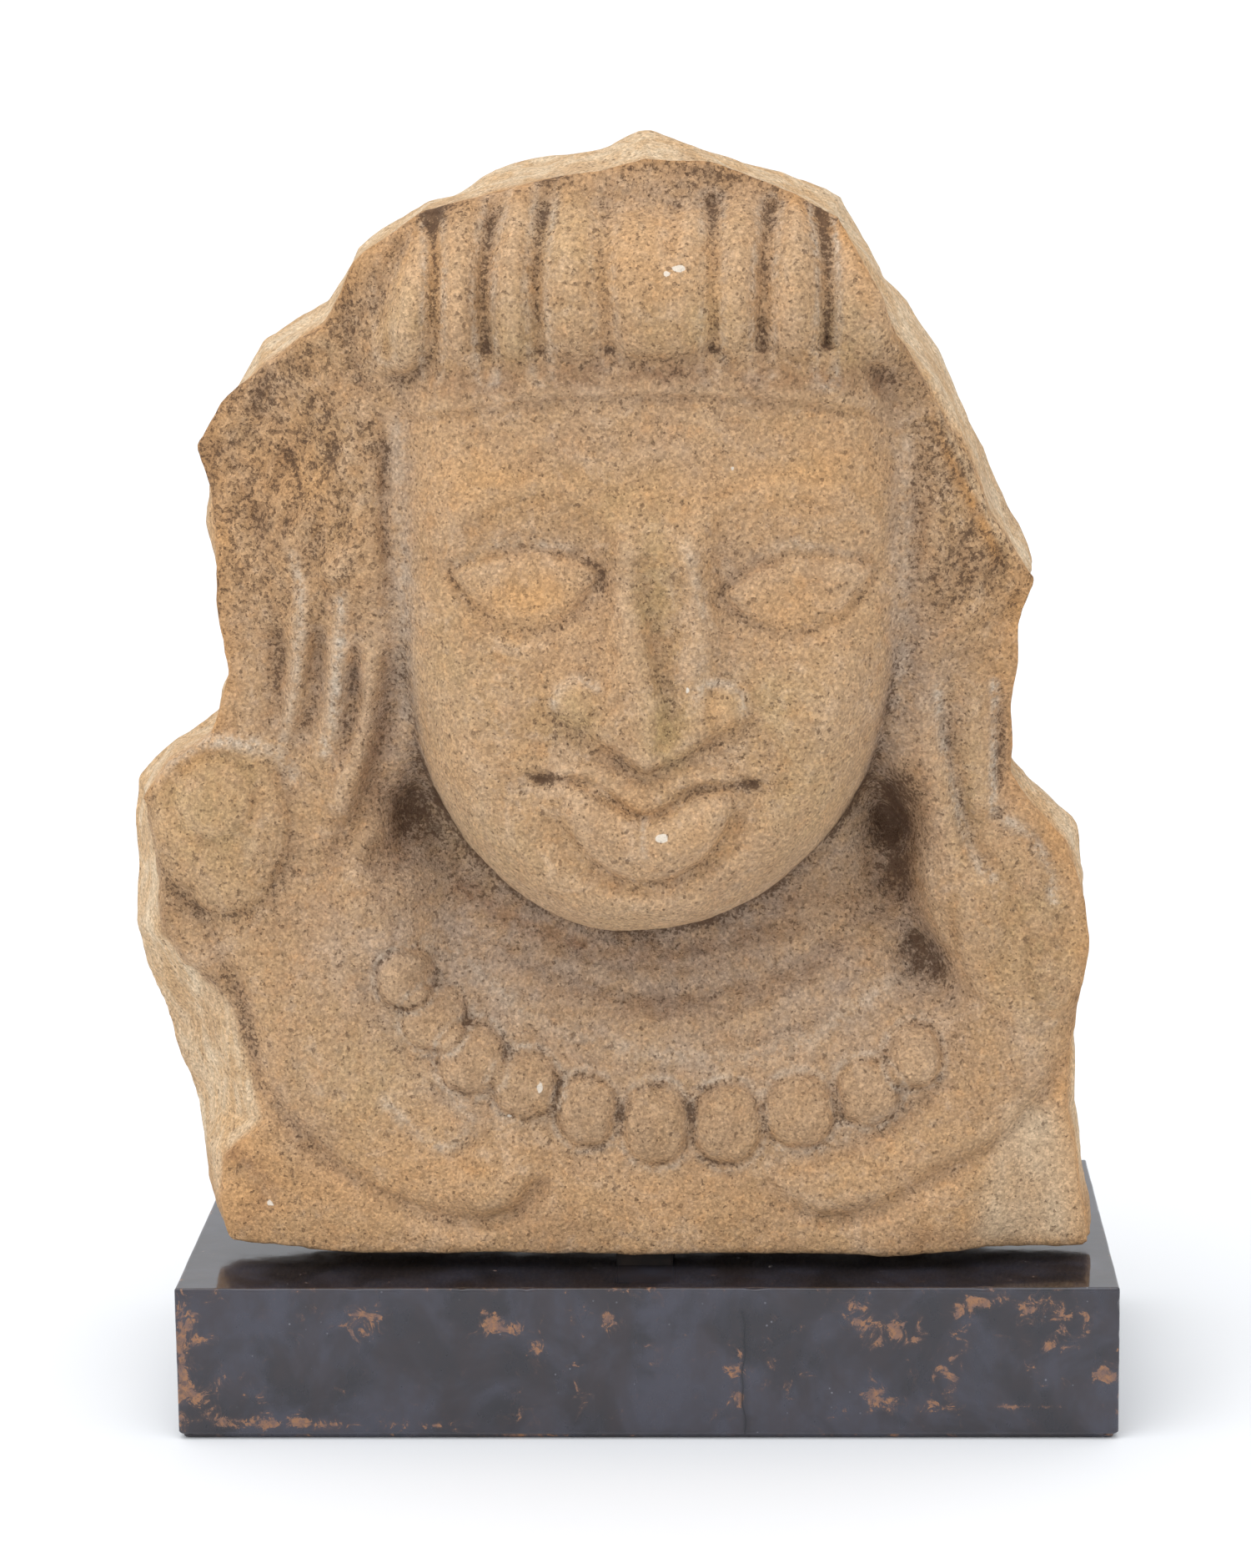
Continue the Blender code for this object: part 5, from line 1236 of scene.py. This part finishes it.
def lacquer():
    n = Nodes("lacquered_block")
    broad = n.noise(0.03, 4.0, 0.6, distortion=0.5)
    brushed = n.noise(0.009, 4.0, 0.6, n.place((1, 1, 0.6)))
    fine = n.noise(0.0022, 5.0, 0.75, distortion=0.8)
    ragged = n.plus(n.noise(0.0065, 5.0, 0.7, distortion=1.0), n.times(n.value("worn"), 0.26))
    ragged = n.plus(ragged, n.times(fine, 0.22))
    bare = n.times(n.between(ragged, 0.79, 0.84), n.between(fine, 0.38, 0.55, 0.25, 1.0))
    copper = n.between(n.noise(0.003, 3.0, 0.6), 0.35, 0.65)
    copper = n.mix(copper, (0.33, 0.155, 0.065), (0.19, 0.105, 0.075))
    specks = n.between(n.cells(0.004), 0.10, 0.05)
    specks = n.times(specks, n.between(n.noise(0.012, 2.0), 0.5, 0.7, 0.0, 0.5))
    colour = n.mix(n.between(broad, 0.38, 0.62), (0.020, 0.018, 0.020), (0.047, 0.046, 0.060))
    for share, seen in (
        (n.between(brushed, 0.35, 0.7, 0.0, 0.6), (0.034, 0.024, 0.023)),
        (n.between(ragged, 0.70, 0.86, 0.0, 0.4), (0.14, 0.075, 0.05)),
        (n.times(bare, 0.9), copper),
        (n.times(n.value("crack"), 0.85), (0.006, 0.005, 0.005)),
        (specks, (0.3, 0.3, 0.33)),
    ):
        colour = n.mix(share, colour, seen)
    roughness = n.between(n.value("top"), 0.0, 1.0, 0.26, 0.06)
    roughness = n.plus(roughness, n.times(n.between(brushed, 0.3, 0.7), 0.06))
    height = n.plus(n.noise(0.02, 2.0), n.times(n.noise(0.003, 3.0, 0.6), 0.15))
    height = n.math("SUBTRACT", height, n.times(bare, 0.25))
    return n.finished({
        "Base Color": colour, "Roughness": n.plus(roughness, n.times(bare, 0.3)), "IOR": 1.5,
        "Coat Weight": 0.4, "Coat Roughness": 0.05, "Coat Tint": (0.95, 0.96, 1.0),
        "Specular Tint": (0.86, 0.89, 1.0), "Normal": n.bump(height, 0.25, 0.0004),
    })


def blackened_steel():
    n = Nodes("post_steel")
    patch = n.noise(0.008, 4.0, 0.65)
    return n.finished({
        "Base Color": n.mix(n.between(patch, 0.4, 0.7), (0.016, 0.014, 0.014), (0.045, 0.032, 0.026)),
        "Roughness": n.between(patch, 0.3, 0.7, 0.62, 0.8), "Metallic": 0.4,
        "Normal": n.bump(n.noise(0.0012, 3.0), 0.3, 0.0003),
    })


block = build_base()
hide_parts("base_block")
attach(block, "root")

post_finish = blackened_steel()
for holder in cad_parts["mount_post"].material_slots:
    holder.material = post_finish


def build_floor():
    pale = {"Base Color": (0.84, 0.86, 0.89), "Roughness": 0.9, "Specular IOR Level": 0.2}
    reach = 600.0
    corners = reach * np.array([[-1, -1, 0], [1, -1, 0], [1, 1, 0], [-1, 1, 0]])
    floor = mesh_object("floor", corners, np.array([[0, 1, 2, 3]]), Nodes("floor").finished(pale))


def soft_sun(name, strength, toward, angle):
    """A broad soft light that comes from that direction."""
    light = bpy.data.lights.new(name, "SUN")
    light.energy, light.angle = strength, math.radians(angle)
    lamp = bpy.data.objects.new(name, light)
    bpy.context.scene.collection.objects.link(lamp)
    from_z = np.array(toward, float) / np.linalg.norm(toward)
    side = np.cross((0.0, 1.0, 0.001), from_z)
    side /= np.linalg.norm(side)
    lamp.matrix_world = Matrix(np.column_stack([side, np.cross(from_z, side), from_z]).tolist()).to_4x4()


def build_light():
    world = bpy.context.scene.world or bpy.data.worlds.new("studio")
    bpy.context.scene.world = world
    world.use_nodes = True
    sky = world.node_tree.nodes["Background"]
    sky.inputs["Color"].default_value = (0.99, 0.995, 1.0, 1.0)
    sky.inputs["Strength"].default_value = 0.80
    soft_sun("overhead", 1.7, (-0.15, -0.35, 1.0), 70)
    soft_sun("side", 0.35, (-0.9, -0.7, 0.5), 50)


# The camera's focal length and the picture's height, in its pixels.
FOCAL_LENGTH, PICTURE_HEIGHT = 5232.88, 1880.0


def build_camera():
    lens = bpy.data.cameras.new("camera")
    lens.sensor_fit, lens.sensor_height = "VERTICAL", 36.0
    lens.lens = FOCAL_LENGTH * lens.sensor_height / PICTURE_HEIGHT
    lens.clip_start, lens.clip_end = 0.05, 2000.0
    camera = bpy.data.objects.new("camera", lens)
    bpy.context.scene.collection.objects.link(camera)
    right = (0.99938671, 0.03309721, -0.01143591)
    forward = (-0.03462583, 0.98272328, -0.18181313)
    up = (0.00522082, 0.1820976, 0.9832666)
    turn = Matrix([[r, u, -f] for r, u, f in zip(right, up, forward)])
    camera.matrix_world = Matrix.Translation((0.04316, -1.43009, 0.46660)) @ turn.to_4x4()
    bpy.context.scene.camera = camera


build_floor()
build_light()
build_camera()
bpy.context.scene.view_settings.view_transform = "Standard"
